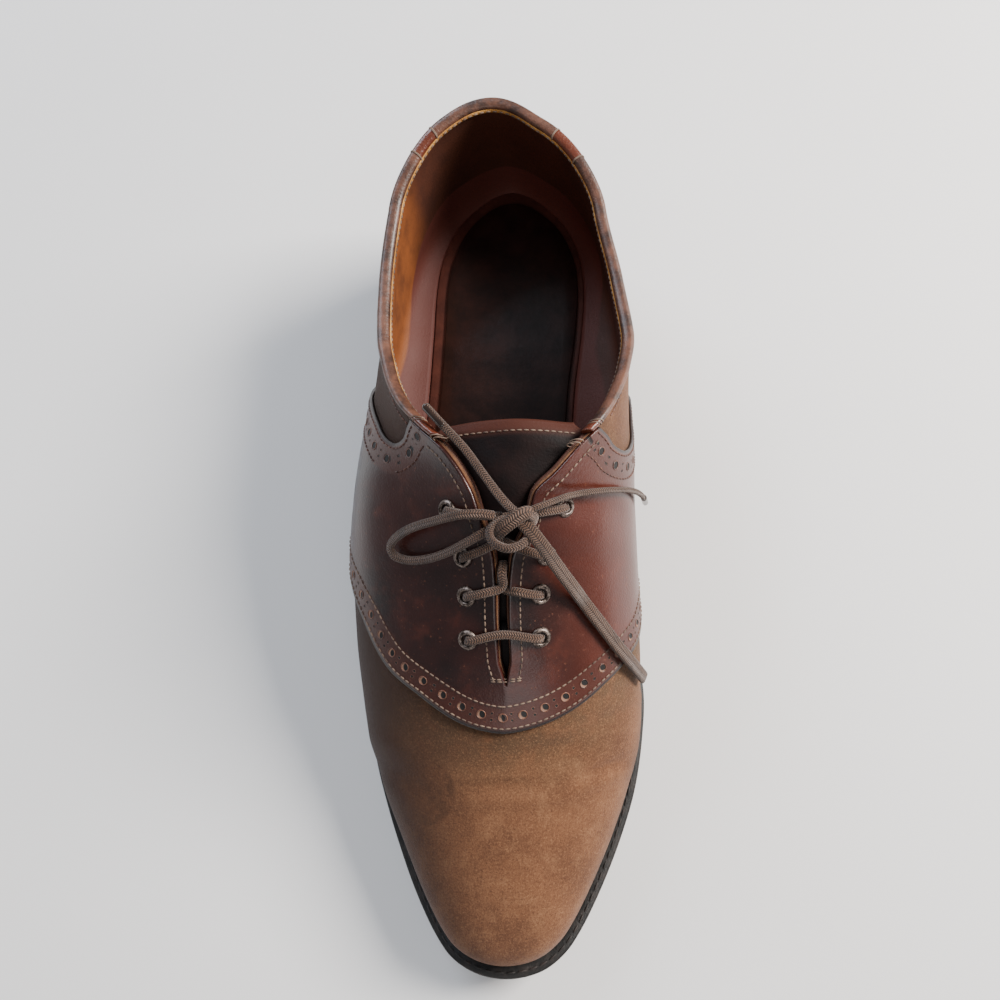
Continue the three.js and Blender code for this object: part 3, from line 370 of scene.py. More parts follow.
def unit(vectors: np.ndarray) -> np.ndarray:
    """Scale vectors to length one."""
    return vectors / np.maximum(np.linalg.norm(vectors, axis=-1, keepdims=True), 1e-12)


def arc_lengths(points: np.ndarray) -> np.ndarray:
    """Distance travelled along a line at each of its points."""
    return np.concatenate([[0.0], np.cumsum(np.linalg.norm(np.diff(points, axis=0), axis=1))])


def resample(points: np.ndarray, step: float) -> np.ndarray:
    """Space a line's points evenly, about a step apart."""
    along = arc_lengths(points)
    at = np.linspace(0, along[-1], max(2, round(along[-1] / step) + 1))
    return np.stack([np.interp(at, along, points[:, k]) for k in range(3)], axis=1)


def round_trip(make: Callable[[Side], np.ndarray], skip: int = 0, axis: int = 0) -> np.ndarray:
    """Run along the medial side and back along the lateral side.

    Args:
        make: Gives the points of one side, ending where the sides meet.
        skip: How many points of the lateral side are left out where the sides meet.
        axis: The axis that runs along the line.

    Returns:
        The points of both sides.
    """
    back = np.flip(make(Side.LATERAL), axis)
    kept = np.take(back, range(skip, back.shape[axis]), axis)
    return np.concatenate([make(Side.MEDIAL), kept], axis)


@dataclass
class Planes:
    """Upright planes through the shoe, with each field an array of one value for every plane.

    Each plane starts at (ox, oy) on the last's middle line and looks along (dx, dy). The wall in
    it rises from the feather edge at the foot, over the widest part at the waist, to the edge.
    """

    ox: np.ndarray
    oy: np.ndarray
    dx: np.ndarray
    dy: np.ndarray
    sole: np.ndarray
    foot: np.ndarray
    feather: np.ndarray
    widest: np.ndarray
    waist: np.ndarray
    edge: np.ndarray
    top: np.ndarray
    lean: np.ndarray

    FOOT_BOW = 0.3
    SHOULDER = 0.5
    MOST_INWARD = 0.62
    LEAST_COSINE = 0.35

    def wall(self, row) -> tuple[np.ndarray, np.ndarray]:
        """Reach and height of the wall.

        Args:
            row: Share of the way up, from -1 at the feather over 0 at the waist to 1 at the edge.

        Returns:
            The reach from the middle line, and the height.
        """
        row = np.asarray(row, dtype=float)
        t = np.clip(1 + row, 0, 1)
        bow = self.foot + self.FOOT_BOW * (self.waist - self.foot)
        low_r = (1 - t) ** 2 * self.feather + 2 * t * (1 - t) * self.widest + t * t * self.widest
        low_z = (1 - t) ** 2 * self.foot + 2 * t * (1 - t) * bow + t * t * self.waist
        t = np.clip(row, 0, 1)
        u = 1 - t
        slant = np.radians(self.lean)
        handle = 0.5 * np.hypot(self.widest - self.edge, self.top - self.waist)
        cosine = np.maximum(np.cos(slant), self.LEAST_COSINE)
        reach = np.minimum(handle, self.MOST_INWARD * (self.widest - self.edge) / cosine)
        shoulder = self.waist + self.SHOULDER * (self.top - self.waist)
        near, far = 3 * u * u * t, 3 * u * t * t
        high_r = (u**3 + near) * self.widest + far * (self.edge + reach * np.cos(slant)) + t**3 * self.edge
        high_z = u**3 * self.waist + near * shoulder + far * (self.top - reach * np.sin(slant))
        high_z = high_z + t**3 * self.top
        below = row <= 0
        return np.where(below, low_r, high_r), np.where(below, low_z, high_z)

    def point(self, reach, height) -> np.ndarray:
        """Point of the planes at a reach and a height."""
        x = self.ox + reach * self.dx
        y = self.oy + reach * self.dy
        return np.stack(np.broadcast_arrays(x, y, height), axis=-1)


@dataclass(frozen=True)
class Crease:
    """One soft fold of the vamp: a line in plan, its half width, and its depth (below 0 a ridge)."""

    start: tuple[float, float]
    end: tuple[float, float]
    width: float
    depth: float

    def relief(self, points: np.ndarray) -> np.ndarray:
        """Depth of the fold at points of the upper."""
        a = np.array(self.start)
        along = np.array(self.end) - a
        share = np.clip(((points[..., :2] - a) @ along) / (along @ along), 0, 1)
        away = np.linalg.norm(points[..., :2] - a - share[..., None] * along, axis=-1)
        fade = np.sin(np.pi * (0.08 + 0.84 * share))
        return -self.depth * fade * np.exp(-((away / self.width) ** 2))


CREASES = (
    Crease((-0.018, -0.0870), (0.024, -0.0880), 0.0034, 0.0007),
    Crease((-0.010, -0.0915), (0.026, -0.0925), 0.0022, -0.0005),
    Crease((0.024, -0.0870), (0.043, -0.0815), 0.0017, 0.0009),
    Crease((0.018, -0.0910), (0.042, -0.0860), 0.0022, -0.0005),
    Crease((0.008, -0.0790), (0.036, -0.0750), 0.0030, 0.0007),
    Crease((-0.004, -0.0740), (0.024, -0.0700), 0.0024, -0.0004),
    Crease((0.026, -0.0720), (0.048, -0.0640), 0.0026, 0.0008),
    Crease((0.034, -0.0630), (0.050, -0.0560), 0.0024, 0.0006),
    Crease((-0.046, -0.0780), (-0.018, -0.0900), 0.0042, 0.0009),
    Crease((-0.046, -0.0700), (-0.024, -0.0760), 0.0032, -0.0005),
    Crease((-0.040, 0.0580), (-0.036, 0.0800), 0.0060, 0.0007),
    Crease((0.038, 0.0560), (0.038, 0.0780), 0.0060, 0.0006),
)


class Last:
    """The form the upper is drawn over.

    A place on it is a side, a walk and a row. The walk runs from 0 at the toe's tip to 1 where
    the toe's round ends, 2 where the heel's round starts and 3 at the heel's back.
    """

    FAN_STEPS = 120
    SIDE_STEPS = 900
    RIDGE_STEP = 0.004
    TOE_SLOPE = 0.28
    COLLAR_DROP = 0.956
    FULL_GAP = 0.328
    RIDGE_ROW = 0.8
    NORMAL_STEP = 0.004
    NORMAL_RISE = 0.01
    HIGHEST_ROW = 0.98
    OVER_EDGE = 1e-4

    def __init__(self) -> None:
        shares = (-SOLE_OUTLINE["lateral"], SOLE_OUTLINE["medial"])
        y = station_y(SOLE_OUTLINE["along"])
        lateral, medial = (np.stack([share * BALL_WIDTH, y], axis=1) for share in shares)
        self.outline = catmull_rom(np.concatenate([lateral, medial[-2:0:-1]]), 16, closed=True)
        self.walks = np.concatenate([
            np.linspace(0, 1, self.FAN_STEPS, endpoint=False),
            np.linspace(1, 2, self.SIDE_STEPS, endpoint=False),
            np.linspace(2, 3, self.FAN_STEPS),
        ])
        low, high = column(EDGE, "height", np.array([TOE_POLE, TOE_POLE + self.RIDGE_STEP]))
        self.slope = (high - low) * INSTEP_HEIGHT / (self.RIDGE_STEP * SOLE_LENGTH) + self.TOE_SLOPE
        self.ribbons = {side: self._planes(side, self.walks) for side in SIDES}

    def _reach(self, ox, oy, dx, dy) -> np.ndarray:
        """Distance from points of the middle line to the sole's edge."""
        start = self.outline
        step = np.roll(start, -1, axis=0) - start
        ax = start[None, :, 0] - ox[:, None]
        ay = start[None, :, 1] - oy[:, None]
        det = dx[:, None] * step[None, :, 1] - dy[:, None] * step[None, :, 0]
        det = np.where(np.abs(det) < 1e-12, np.nan, det)
        far = (ax * step[None, :, 1] - ay * step[None, :, 0]) / det
        share = (ax * dy[:, None] - ay * dx[:, None]) / det
        return np.nanmax(np.where((share >= 0) & (share <= 1), far, np.nan), axis=1)

    def _planes(self, side: Side, walk: np.ndarray) -> Planes:
        """Planes of one side, at each walk."""
        toe, heel = walk < 1, walk > 2
        along = self.along_at(walk)
        turn = np.where(toe, 90 * (1 - walk), np.where(heel, 90 * (walk - 2), 0.0))
        angle = np.radians(turn)
        ox = column(SPINE, "offset", along) * BALL_WIDTH
        oy = station_y(along)
        dx = np.cos(angle) * (-1 if side is Side.LATERAL else 1)
        dy = np.sin(angle) * np.where(toe, -1, 1)
        sole = self._reach(ox, oy, dx, dy)
        at = station_of(oy + sole * dy)
        foot = welt_top(at) + CLEARANCE
        edge = column(EDGE, side, along) * BALL_WIDTH
        collar = column(COLLAR_BACK, side, turn, "turn") * BALL_WIDTH
        gap = np.interp(along, (THROAT, self.FULL_GAP), (0, 1)) * THROAT_GAP / 2
        edge = np.where(heel, collar, edge + gap)
        lean = np.where(toe, np.degrees(np.arctan(-self.slope * dy)), column(EDGE, "lean", along))
        rim_at = np.where(heel, station_of(oy + edge * dy), along)
        lifted = (COLLAR_HEIGHT - self.COLLAR_DROP * INSTEP_HEIGHT) * np.sin(angle)
        rim = column(EDGE, "height", rim_at) * INSTEP_HEIGHT + np.where(heel, lifted, 0)
        bound = np.where(heel, 1.0, column(EDGE, "bound", along))
        top = rim - bound * (BINDING_HEIGHT + BINDING_SEAT)
        return Planes(
            ox, oy, dx, dy, sole, foot,
            sole - column(FEATHER, "inset", at) * BALL_WIDTH,
            sole + column(BULGE, side, at) * BALL_WIDTH,
            foot + column(BULGE, "height", at) * (top - foot),
            edge, top, lean,
        )

    def planes(self, side: Side, walk) -> Planes:
        """Planes of one side at any walk."""
        ribbon = self.ribbons[side]
        names = Planes.__dataclass_fields__
        return Planes(*(np.interp(walk, self.walks, getattr(ribbon, name)) for name in names))

    def walk_at(self, along) -> np.ndarray:
        """Walk at a station between the toe's round and the heel's round."""
        return 1 + (np.asarray(along) - TOE_POLE) / (HEEL_POLE - TOE_POLE)

    def along_at(self, walk) -> np.ndarray:
        """Station at a walk, held at the poles in both rounds."""
        return np.clip(TOE_POLE + (walk - 1) * (HEEL_POLE - TOE_POLE), TOE_POLE, HEEL_POLE)

    def surface(self, side: Side, walk, row, lift=0.0, folded: bool = True) -> np.ndarray:
        """Points of the wall.

        Args:
            side: The side.
            walk: The way round, from 0 at the toe to 3 at the back.
            row: The way up, from -1 to 1.
            lift: Distance outside the wall.
            folded: Whether the creases of wear are pressed in.

        Returns:
            The points.
        """
        walk, row = np.broadcast_arrays(np.asarray(walk, float), np.asarray(row, float))
        planes = self.planes(side, walk)
        points = planes.point(*planes.wall(row))
        off = np.asarray(lift, dtype=float)
        if folded:
            off = off + sum(crease.relief(points) for crease in CREASES)
        return points + self.normals(side, walk, row) * np.broadcast_to(off, walk.shape)[..., None]

    def bare(self, side: Side, walk: np.ndarray, row: np.ndarray) -> np.ndarray:
        """Points of the wall, also where a walk goes on past the toe's tip or the heel's back."""
        other = Side.MEDIAL if side is Side.LATERAL else Side.LATERAL
        beyond = (walk < 0) | (walk > 3)
        held = np.where(walk < 0, -walk, np.where(walk > 3, 6 - walk, walk))
        here, there = (self.planes(which, held) for which in (side, other))
        return np.where(beyond[..., None], there.point(*there.wall(row)), here.point(*here.wall(row)))

    def normals(self, side: Side, walk, row) -> np.ndarray:
        """Outward directions of the wall, the same from both sides where they meet."""
        slip, rise, top = self.NORMAL_STEP, self.NORMAL_RISE, self.HIGHEST_ROW
        low_row = np.clip(row - rise, -1, top + rise / 2)
        high_row = np.clip(row + rise, -top, top + 1.5 * rise)
        held = np.clip(row, -1, top)
        round_way = self.bare(side, walk + slip, held) - self.bare(side, walk - slip, held)
        up_way = self.bare(side, walk, high_row) - self.bare(side, walk, low_row)
        across = np.cross(round_way, up_way)
        ways = unit(across if side is Side.MEDIAL else -across)
        planes = self.planes(side, walk)
        share = np.clip((row - self.RIDGE_ROW) / (1 - self.RIDGE_ROW), 0, 1)
        share = share * (planes.edge < self.OVER_EDGE)
        slope = np.where(walk < 1, self.slope, self.ridge_slope(walk))
        crown = np.stack([0 * slope, -slope, 0 * slope + 1], axis=-1)
        share = (share * share * (3 - 2 * share))[..., None]
        return unit(ways * (1 - share) + unit(crown) * share)

    def ridge_slope(self, walk) -> np.ndarray:
        """Rise of the vamp's ridge for each step back, at a walk."""
        along = self.along_at(walk)
        step = self.RIDGE_STEP
        rise = column(EDGE, "height", along + step) - column(EDGE, "height", along - step)
        return rise * INSTEP_HEIGHT / (2 * step * SOLE_LENGTH)

    def even_walks(self, count: int, low: float, high: float, row: float = 0.3) -> np.ndarray:
        """Walks that lie evenly along the wall at one row."""
        walks = np.linspace(low, high, 800)
        way = arc_lengths(self.surface(Side.LATERAL, walks, row, folded=False))
        return np.interp(np.linspace(0, way[-1], count), way, walks)

    def even_rows(self, count: int, low: float = -1.0, walk: float = 1.5) -> np.ndarray:
        """Rows that lie evenly up the wall at one walk."""
        rows = np.linspace(low, 1, 600)
        way = arc_lengths(self.surface(Side.LATERAL, walk, rows, folded=False))
        return np.interp(np.linspace(0, way[-1], count), way, rows)

    def walk_on_line(self, side: Side, line: dict[str, np.ndarray], rows: np.ndarray, low: float,
                     high: float) -> np.ndarray:
        """Walk at which each row of the wall crosses a line drawn from the side."""
        walks = np.linspace(low, high, 900)
        corners = np.stack([station_y(line["along"]), line["height"] * INSTEP_HEIGHT], axis=1)
        drawn = catmull_rom(corners, 16)
        drawn = drawn[np.argsort(drawn[:, 1])]
        points = self.surface(side, walks[None, :], rows[:, None], folded=False)
        past = points[..., 1] - np.interp(points[..., 2], drawn[:, 1], drawn[:, 0])
        found = np.full(len(rows), high)
        for k, line_past in enumerate(past):
            hits = np.nonzero((line_past[:-1] <= 0) & (line_past[1:] > 0))[0]
            if len(hits):
                i = hits[0]
                share = -line_past[i] / (line_past[i + 1] - line_past[i])
                found[k] = walks[i] + share * (walks[i + 1] - walks[i])
            elif line_past[0] > 0:
                found[k] = low
        return found

    def spot(self, side: Side, along: float, reach: float, lift: float) -> tuple[np.ndarray, np.ndarray]:
        """Point and outward direction of the wall at a station and a reach from the middle line."""
        walk = float(self.walk_at(along))
        rows = np.linspace(0, 1, 2000)
        reaches, _ = self.planes(side, np.full_like(rows, walk)).wall(rows)
        row = rows[np.argmin(np.abs(reaches - reach))]
        normal = self.normals(side, np.array(walk), np.array(row))
        return self.surface(side, walk, row, folded=False) + normal * lift, normal


def select(*pieces: bpy.types.Object) -> None:
    """Select some pieces and nothing else, with the first of them active."""
    bpy.ops.object.select_all(action="DESELECT")
    for piece in pieces:
        piece.select_set(True)
    if pieces:
        bpy.context.view_layer.objects.active = pieces[0]


def in_edit_mode(piece: bpy.types.Object, work: Callable[[], object]) -> None:
    """Do some work in edit mode with all of one piece selected."""
    select(piece)
    bpy.ops.object.mode_set(mode="EDIT")
    bpy.ops.mesh.select_all(action="SELECT")
    work()
    bpy.ops.object.mode_set(mode="OBJECT")


def thicken(piece: bpy.types.Object, wall: float, offset: int) -> None:
    """Give a sheet a real wall, outside it with an offset of 1 and inside it with -1."""
    select(piece)
    modifier = piece.modifiers.new("Solidify", "SOLIDIFY")
    modifier.thickness = wall
    modifier.offset = offset
    modifier.use_even_offset = False
    modifier.material_offset_rim = 1
    bpy.ops.object.modifier_apply(modifier=modifier.name)


def paint(piece: bpy.types.Object, *materials: bpy.types.Material) -> None:
    """Give a piece its materials, in the order of its slots."""
    piece.data.materials.clear()
    for material in materials:
        piece.data.materials.append(material)


def merge_doubles(piece: bpy.types.Object) -> None:
    """Merge the points of a piece that lie on one another."""
    in_edit_mode(piece, lambda: bpy.ops.mesh.remove_doubles(threshold=MERGE))


def grid_piece(name: str, points: np.ndarray,
               maps: dict[str, np.ndarray] | None = None) -> bpy.types.Object:
    """Shape a grid primitive into a surface.

    Args:
        name: The piece's name.
        points: The surface's points, by row and column.
        maps: A UV map for each name, by row and column.

    Returns:
        The piece, with doubled points merged.
    """
    high, wide = points.shape[:2]
    select()
    bpy.ops.mesh.primitive_grid_add(x_subdivisions=wide - 1, y_subdivisions=high - 1, size=1)
    piece = bpy.context.active_object
    piece.name = name
    piece.data.name = name
    mesh = piece.data
    mesh.vertices.foreach_set("co", points.reshape(-1))
    corners = np.empty(len(mesh.loops), dtype=np.int32)
    mesh.loops.foreach_get("vertex_index", corners)
    for layer in list(mesh.uv_layers):
        mesh.uv_layers.remove(layer)
    for map_name, values in (maps or {}).items():
        layer = mesh.uv_layers.new(name=map_name)
        layer.data.foreach_set("uv", values.reshape(-1, 2)[corners].astype(np.float32).reshape(-1))
    mesh.update()
    merge_doubles(piece)
    mesh.shade_smooth()
    return piece


def finish_piece(piece: bpy.types.Object, materials: Sequence[bpy.types.Material],
                 nodes: Sequence[str] = ()) -> bpy.types.Object:
    """Paint a piece, tie it to the body, hide the solids it stands for, and log it.

    Args:
        piece: The piece.
        materials: Its materials, the wall's own before the one of its cut edges.
        nodes: The solids of the CAD that it replaces.

    Returns:
        The piece.
    """
    paint(piece, *materials)
    if nodes:
        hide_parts(*nodes)
    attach(piece, "root")
    if piece.type == "MESH":
        log.info("%s: %d faces", piece.name, len(piece.data.polygons))
    return piece


def outward(piece: bpy.types.Object) -> None:
    """Turn all faces of a closed piece outward."""
    in_edit_mode(piece, lambda: bpy.ops.mesh.normals_make_consistent(inside=False))


def sole_ring(last: Last, walks: np.ndarray, reach_at: Callable, height_at: Callable) -> np.ndarray:
    """Ring round the sole, from functions for its reach in the planes and its height at a station."""
    def half(side: Side) -> np.ndarray:
        planes = last.planes(side, walks)
        reach = reach_at(planes)
        return planes.point(reach, height_at(station_of(planes.oy + reach * planes.dy)))

    return round_trip(half)


def stack_grid(name: str, last: Last, walks: np.ndarray, lines) -> bpy.types.Object:
    """Shape a closed piece from rings that follow the sole's outline.

    Args:
        name: The piece's name.
        last: The last.
        walks: The walks of the rings' points on one side.
        lines: For each ring, a pair of functions of the planes: its reach, and its height above
            a station.

    Returns:
        The piece.
    """
    piece = grid_piece(name, np.array([sole_ring(last, walks, *line) for line in lines]))
    outward(piece)
    return piece


def join_pieces(name: str, pieces: Sequence[bpy.types.Object]) -> bpy.types.Object:
    """Join pieces into the first of them and merge what meets."""
    select(*pieces)
    bpy.ops.object.join()
    whole = pieces[0]
    whole.name = name
    whole.data.name = name
    merge_doubles(whole)
    return whole


def band_map(points: np.ndarray, line: np.ndarray) -> np.ndarray:
    """Measure points against a line.

    Args:
        points: The points, by row and column.
        line: The line's own points.

    Returns:
        For each point, the distance travelled along the line to its nearest place, and the
        distance from it.
    """
    line = resample(line, 0.0008)
    way = arc_lengths(line)
    flat = points.reshape(-1, 3)
    result = np.full((len(flat), 2), np.inf)
    for first in range(0, len(flat), 4000):
        part = flat[first:first + 4000]
        nearest = np.argmin(np.linalg.norm(part[:, None] - line[None], axis=2), axis=1)
        best = result[first:first + 4000]
        for start in (nearest - 1, nearest):
            start = np.clip(start, 0, len(line) - 2)
            step = line[start + 1] - line[start]
            length = np.linalg.norm(step, axis=1)
            share = np.clip(((part - line[start]) * step).sum(axis=1) / length**2, 0, 1)
            away = np.linalg.norm(part - line[start] - share[:, None] * step, axis=1)
            closer = away < best[:, 1]
            best[closer] = np.stack([way[start] + share * length, away], axis=1)[closer]
    return result.reshape(*points.shape[:-1], 2)


def skin_of(*pieces: bpy.types.Object) -> BVHTree:
    """Make a tree of the faces of some pieces, to lay things on."""
    corners: list[Vector] = []
    faces: list[tuple[int, ...]] = []
    for piece in pieces:
        base = len(corners)
        corners.extend(vertex.co.copy() for vertex in piece.data.vertices)
        faces.extend(tuple(base + i for i in polygon.vertices) for polygon in piece.data.polygons)
    return BVHTree.FromPolygons(corners, faces)


def laid_on(skin: BVHTree, points: np.ndarray, lift: float = 0.0) -> tuple[np.ndarray, np.ndarray]:
    """Lay points on a skin, and give the skin's direction there."""
    spots, ways = [], []
    for point in points:
        spot, way, _, _ = skin.find_nearest(Vector(point))
        spots.append(np.array(spot + way * lift))
        ways.append(np.array(way))
    return np.array(spots), np.array(ways)


def beside(line: np.ndarray, normals: np.ndarray, distance: float) -> np.ndarray:
    """Move a line sideways within its surface."""
    tangents = unit(np.gradient(line, axis=0))
    return line + unit(np.cross(normals, tangents)) * distance


def arithmetic(operation: str, swapped: bool = False) -> Callable[..., "Wire"]:
    """Make a method of a wire from a maths node, with its values swapped or not."""
    def method(self: "Wire", *others) -> "Wire":
        values = (*others, self) if swapped else (self, *others)
        return self.shader.make("ShaderNodeMath", dict(enumerate(values)), operation=operation)

    return method


class Wire:
    """One output of a shader's nodes, with arithmetic that makes the nodes it needs."""

    def __init__(self, shader: "Shader", socket: bpy.types.NodeSocket) -> None:
        self.shader = shader
        self.socket = socket

    __add__ = __radd__ = arithmetic("ADD")
    __sub__ = arithmetic("SUBTRACT")
    __rsub__ = arithmetic("SUBTRACT", swapped=True)
    __mul__ = __rmul__ = arithmetic("MULTIPLY")
    __truediv__ = arithmetic("DIVIDE")
    __pow__ = arithmetic("POWER")
    __abs__ = arithmetic("ABSOLUTE")
    most = arithmetic("MAXIMUM")
    least = arithmetic("MINIMUM")
    within = arithmetic("FLOORED_MODULO")

    def rise(self, low: float, high: float, start: float = 0.0, end: float = 1.0) -> "Wire":
        """Smooth step between two values of this one."""
        inputs = {"Value": self, "From Min": low, "From Max": high, "To Min": start, "To Max": end}
        return self.shader.make("ShaderNodeMapRange", inputs, interpolation_type="SMOOTHSTEP")


class Shader:
    """A material under construction."""

    MIX_INPUTS = {"share": 0, "low": 6, "high": 7}
    MIX_OUTPUT = 2

    def __init__(self, name: str) -> None:
        self.material = bpy.data.materials.new(name)
        self.material.use_nodes = True
        self.tree = self.material.node_tree
        self.tree.nodes.clear()

    def make(self, kind: str, inputs: dict | None = None, output: int | str = 0, **settings) -> Wire:
        """Make a node.

        Args:
            kind: The node's type.
            inputs: A wire or a constant for each input, by name or number.
            output: The output to return.
            settings: The node's own properties.

        Returns:
            The wire from the output.
        """
        node = self.tree.nodes.new(kind)
        for key, value in settings.items():
            setattr(node, key, value)
        for key, value in (inputs or {}).items():
            if isinstance(value, Wire):
                self.tree.links.new(value.socket, node.inputs[key])
            else:
                node.inputs[key].default_value = value
        return Wire(self, node.outputs[output])

    def place(self, stretch: Sequence[float] = (1, 1, 1), turn: float = 0.0) -> Wire:
        """Object coordinates, stretched and turned about the upright axis."""
        inputs = {"Vector": self.make("ShaderNodeTexCoord", output="Object"), "Scale": stretch}
        return self.make("ShaderNodeMapping", inputs | {"Rotation": (0, 0, turn)})

    def axis(self, name: str) -> Wire:
        """One of the object coordinates, X, Y or Z."""
        place = self.make("ShaderNodeTexCoord", output="Object")
        return self.make("ShaderNodeSeparateXYZ", {0: place}, name)

    def map(self, name: str) -> tuple[Wire, Wire]:
        """Both values of a UV map."""
        both = self.make("ShaderNodeUVMap", uv_map=name)
        return tuple(self.make("ShaderNodeSeparateXYZ", {0: both}, axis) for axis in "XY")

    def noise(self, scale: float, detail: float, rough: float, place: Wire | None = None) -> Wire:
        """Soft noise from 0 to 1."""
        inputs = {"Vector": place or self.place(), "Scale": scale, "Detail": detail, "Roughness": rough}
        return self.make("ShaderNodeTexNoise", inputs)

    def cells(self, scale: float) -> Wire:
        """Distance within random cells."""
        return self.make("ShaderNodeTexVoronoi", {"Vector": self.place(), "Scale": scale})

    def mix(self, share: Wire | float, low, high) -> Wire:
        """Blend two colours."""
        values = {"share": share, "low": low, "high": high}
        inputs = {self.MIX_INPUTS[key]: value for key, value in values.items()}
        return self.make("ShaderNodeMix", inputs, self.MIX_OUTPUT, data_type="RGBA")

    def dots(self, u: Wire, v: Wire, middle: float, radius: float, pitch: float,
             shift: float = 0.0) -> Wire:
        """Row of round spots along a map's first value, 1 inside and 0 outside."""
        local = (u / pitch + shift).within(1.0) * pitch - 0.5 * pitch
        away = (local**2 + (v - middle) ** 2) ** 0.5
        return away.rise(radius * 0.82, radius * 1.12, 1.0, 0.0)

    def surface(self, colour, rough, height: Wire | None = None, depth: float = 0.001, metal: float = 0.0,
                **constants: float) -> bpy.types.Material:
        """End the material in a principled surface.

        Args:
            colour: The base colour.
            rough: The roughness.
            height: The relief, from 0 to 1.
            depth: The relief's depth in metres.
            metal: The metalness.
            constants: Other inputs of the surface, with _ for a space.

        Returns:
            The material.
        """
        inputs = {"Base Color": colour, "Roughness": rough, "Metallic": metal}
        for key, value in constants.items():
            inputs[key.replace("_", " ")] = value
        if height is not None:
            bump = {"Height": height, "Strength": 1.0, "Distance": depth}
            inputs["Normal"] = self.make("ShaderNodeBump", bump)
        shade = self.make("ShaderNodeBsdfPrincipled", inputs)
        end = self.tree.nodes.new("ShaderNodeOutputMaterial")
        self.tree.links.new(shade.socket, end.inputs["Surface"])
        return self.material


def colour(code: int) -> tuple[float, float, float, float]:
    """Linear colour of a screen colour."""
    parts = [((code >> shift) & 255) / 255 for shift in (16, 8, 0)]
    linear = [part / 12.92 if part <= 0.04045 else ((part + 0.055) / 1.055) ** 2.4 for part in parts]
    return (*linear, 1.0)


@dataclass(frozen=True)
class Nubuck:
    """Brushed nubuck of the vamp and the quarters, with painted shade on its lateral side and low down."""

    tan: int = 0x724B32
    light: int = 0x92694A
    dark: int = 0x4C2E1E
    grey: int = 0x4C3A28
    # Colour of the painted shade, also used for the stain.
    shade: int = 0x2C180E

    STAIN = (0.411, 0.023)
    STAIN_RADIUS = 0.011

    def build(self) -> bpy.types.Material:
        """Make the material."""
        s = Shader("nubuck")
        front, rear = s.map("lines")
        across, ahead = s.axis("X"), s.axis("Y")
        broad = s.noise(40, 4, 0.65)
        cloudy = s.noise(130, 5, 0.7)
        base = s.mix(broad.rise(0.24, 0.56, 0.25, 1.0), colour(self.dark), colour(self.tan))
        base = s.mix(cloudy.rise(0.45, 0.75) * 0.5, base, colour(self.light))
        near = front.rise(0.001, 0.030, 0.85, 0.0).most(rear.rise(0.001, 0.008, 0.5, 0.0))
        base = s.mix(near * cloudy.rise(0.15, 0.6), base, colour(self.grey))
        lines = s.noise(900, 2, 0.7, s.place((1.0, 0.06, 1.0), 0.1))
        base = s.mix(lines.rise(0.60, 0.74) * 0.16, base, colour(self.light))
        dark_lines = s.noise(700, 3, 0.7, s.place((1.0, 0.08, 1.0), -0.16))
        base = s.mix(dark_lines.rise(0.58, 0.74) * 0.4, base, colour(self.dark))
        nap = s.noise(1500, 4, 0.85)
        base = s.mix(nap.rise(0.50, 0.34) * 0.75, base, colour(self.dark))
        base = s.mix(nap.rise(0.52, 0.66) * 0.60, base, colour(self.light))
        # Painted shade: the lateral side is darkened, as if the light came from the medial side.
        side = across.rise(-0.047, 0.008, 0.95, 0.0)
        # Painted shade on the rear quarter behind the saddle, strongest on the lateral side.
        quarter_shade = ahead.rise(-0.01, 0.02) * across.rise(-0.02, 0.02, 0.9, 0.2)
        # Painted shade: darker towards the foot of the wall, under its widest part.
        low = s.axis("Z").rise(0.010, 0.024, 0.5, 0.0)
        spot = s.dots(across + 0.5, ahead + 0.5, self.STAIN[0], self.STAIN_RADIUS, 1.0, self.STAIN[1])
        stain = spot * cloudy.rise(0.3, 0.6)
        # Painted shade of the side, the quarter and the foot, joined with the stain.
        painted_shade_and_stain = side.most(low).most(quarter_shade).most(stain * 0.7)
        base = s.mix(painted_shade_and_stain, base, colour(self.shade))
        height = nap * 0.5 + cloudy * 0.3 + lines * 0.2
        return s.surface(base, 0.86, height, 0.00035, Sheen_Weight=0.10, Sheen_Roughness=0.5,
                         Specular_IOR_Level=0.2)


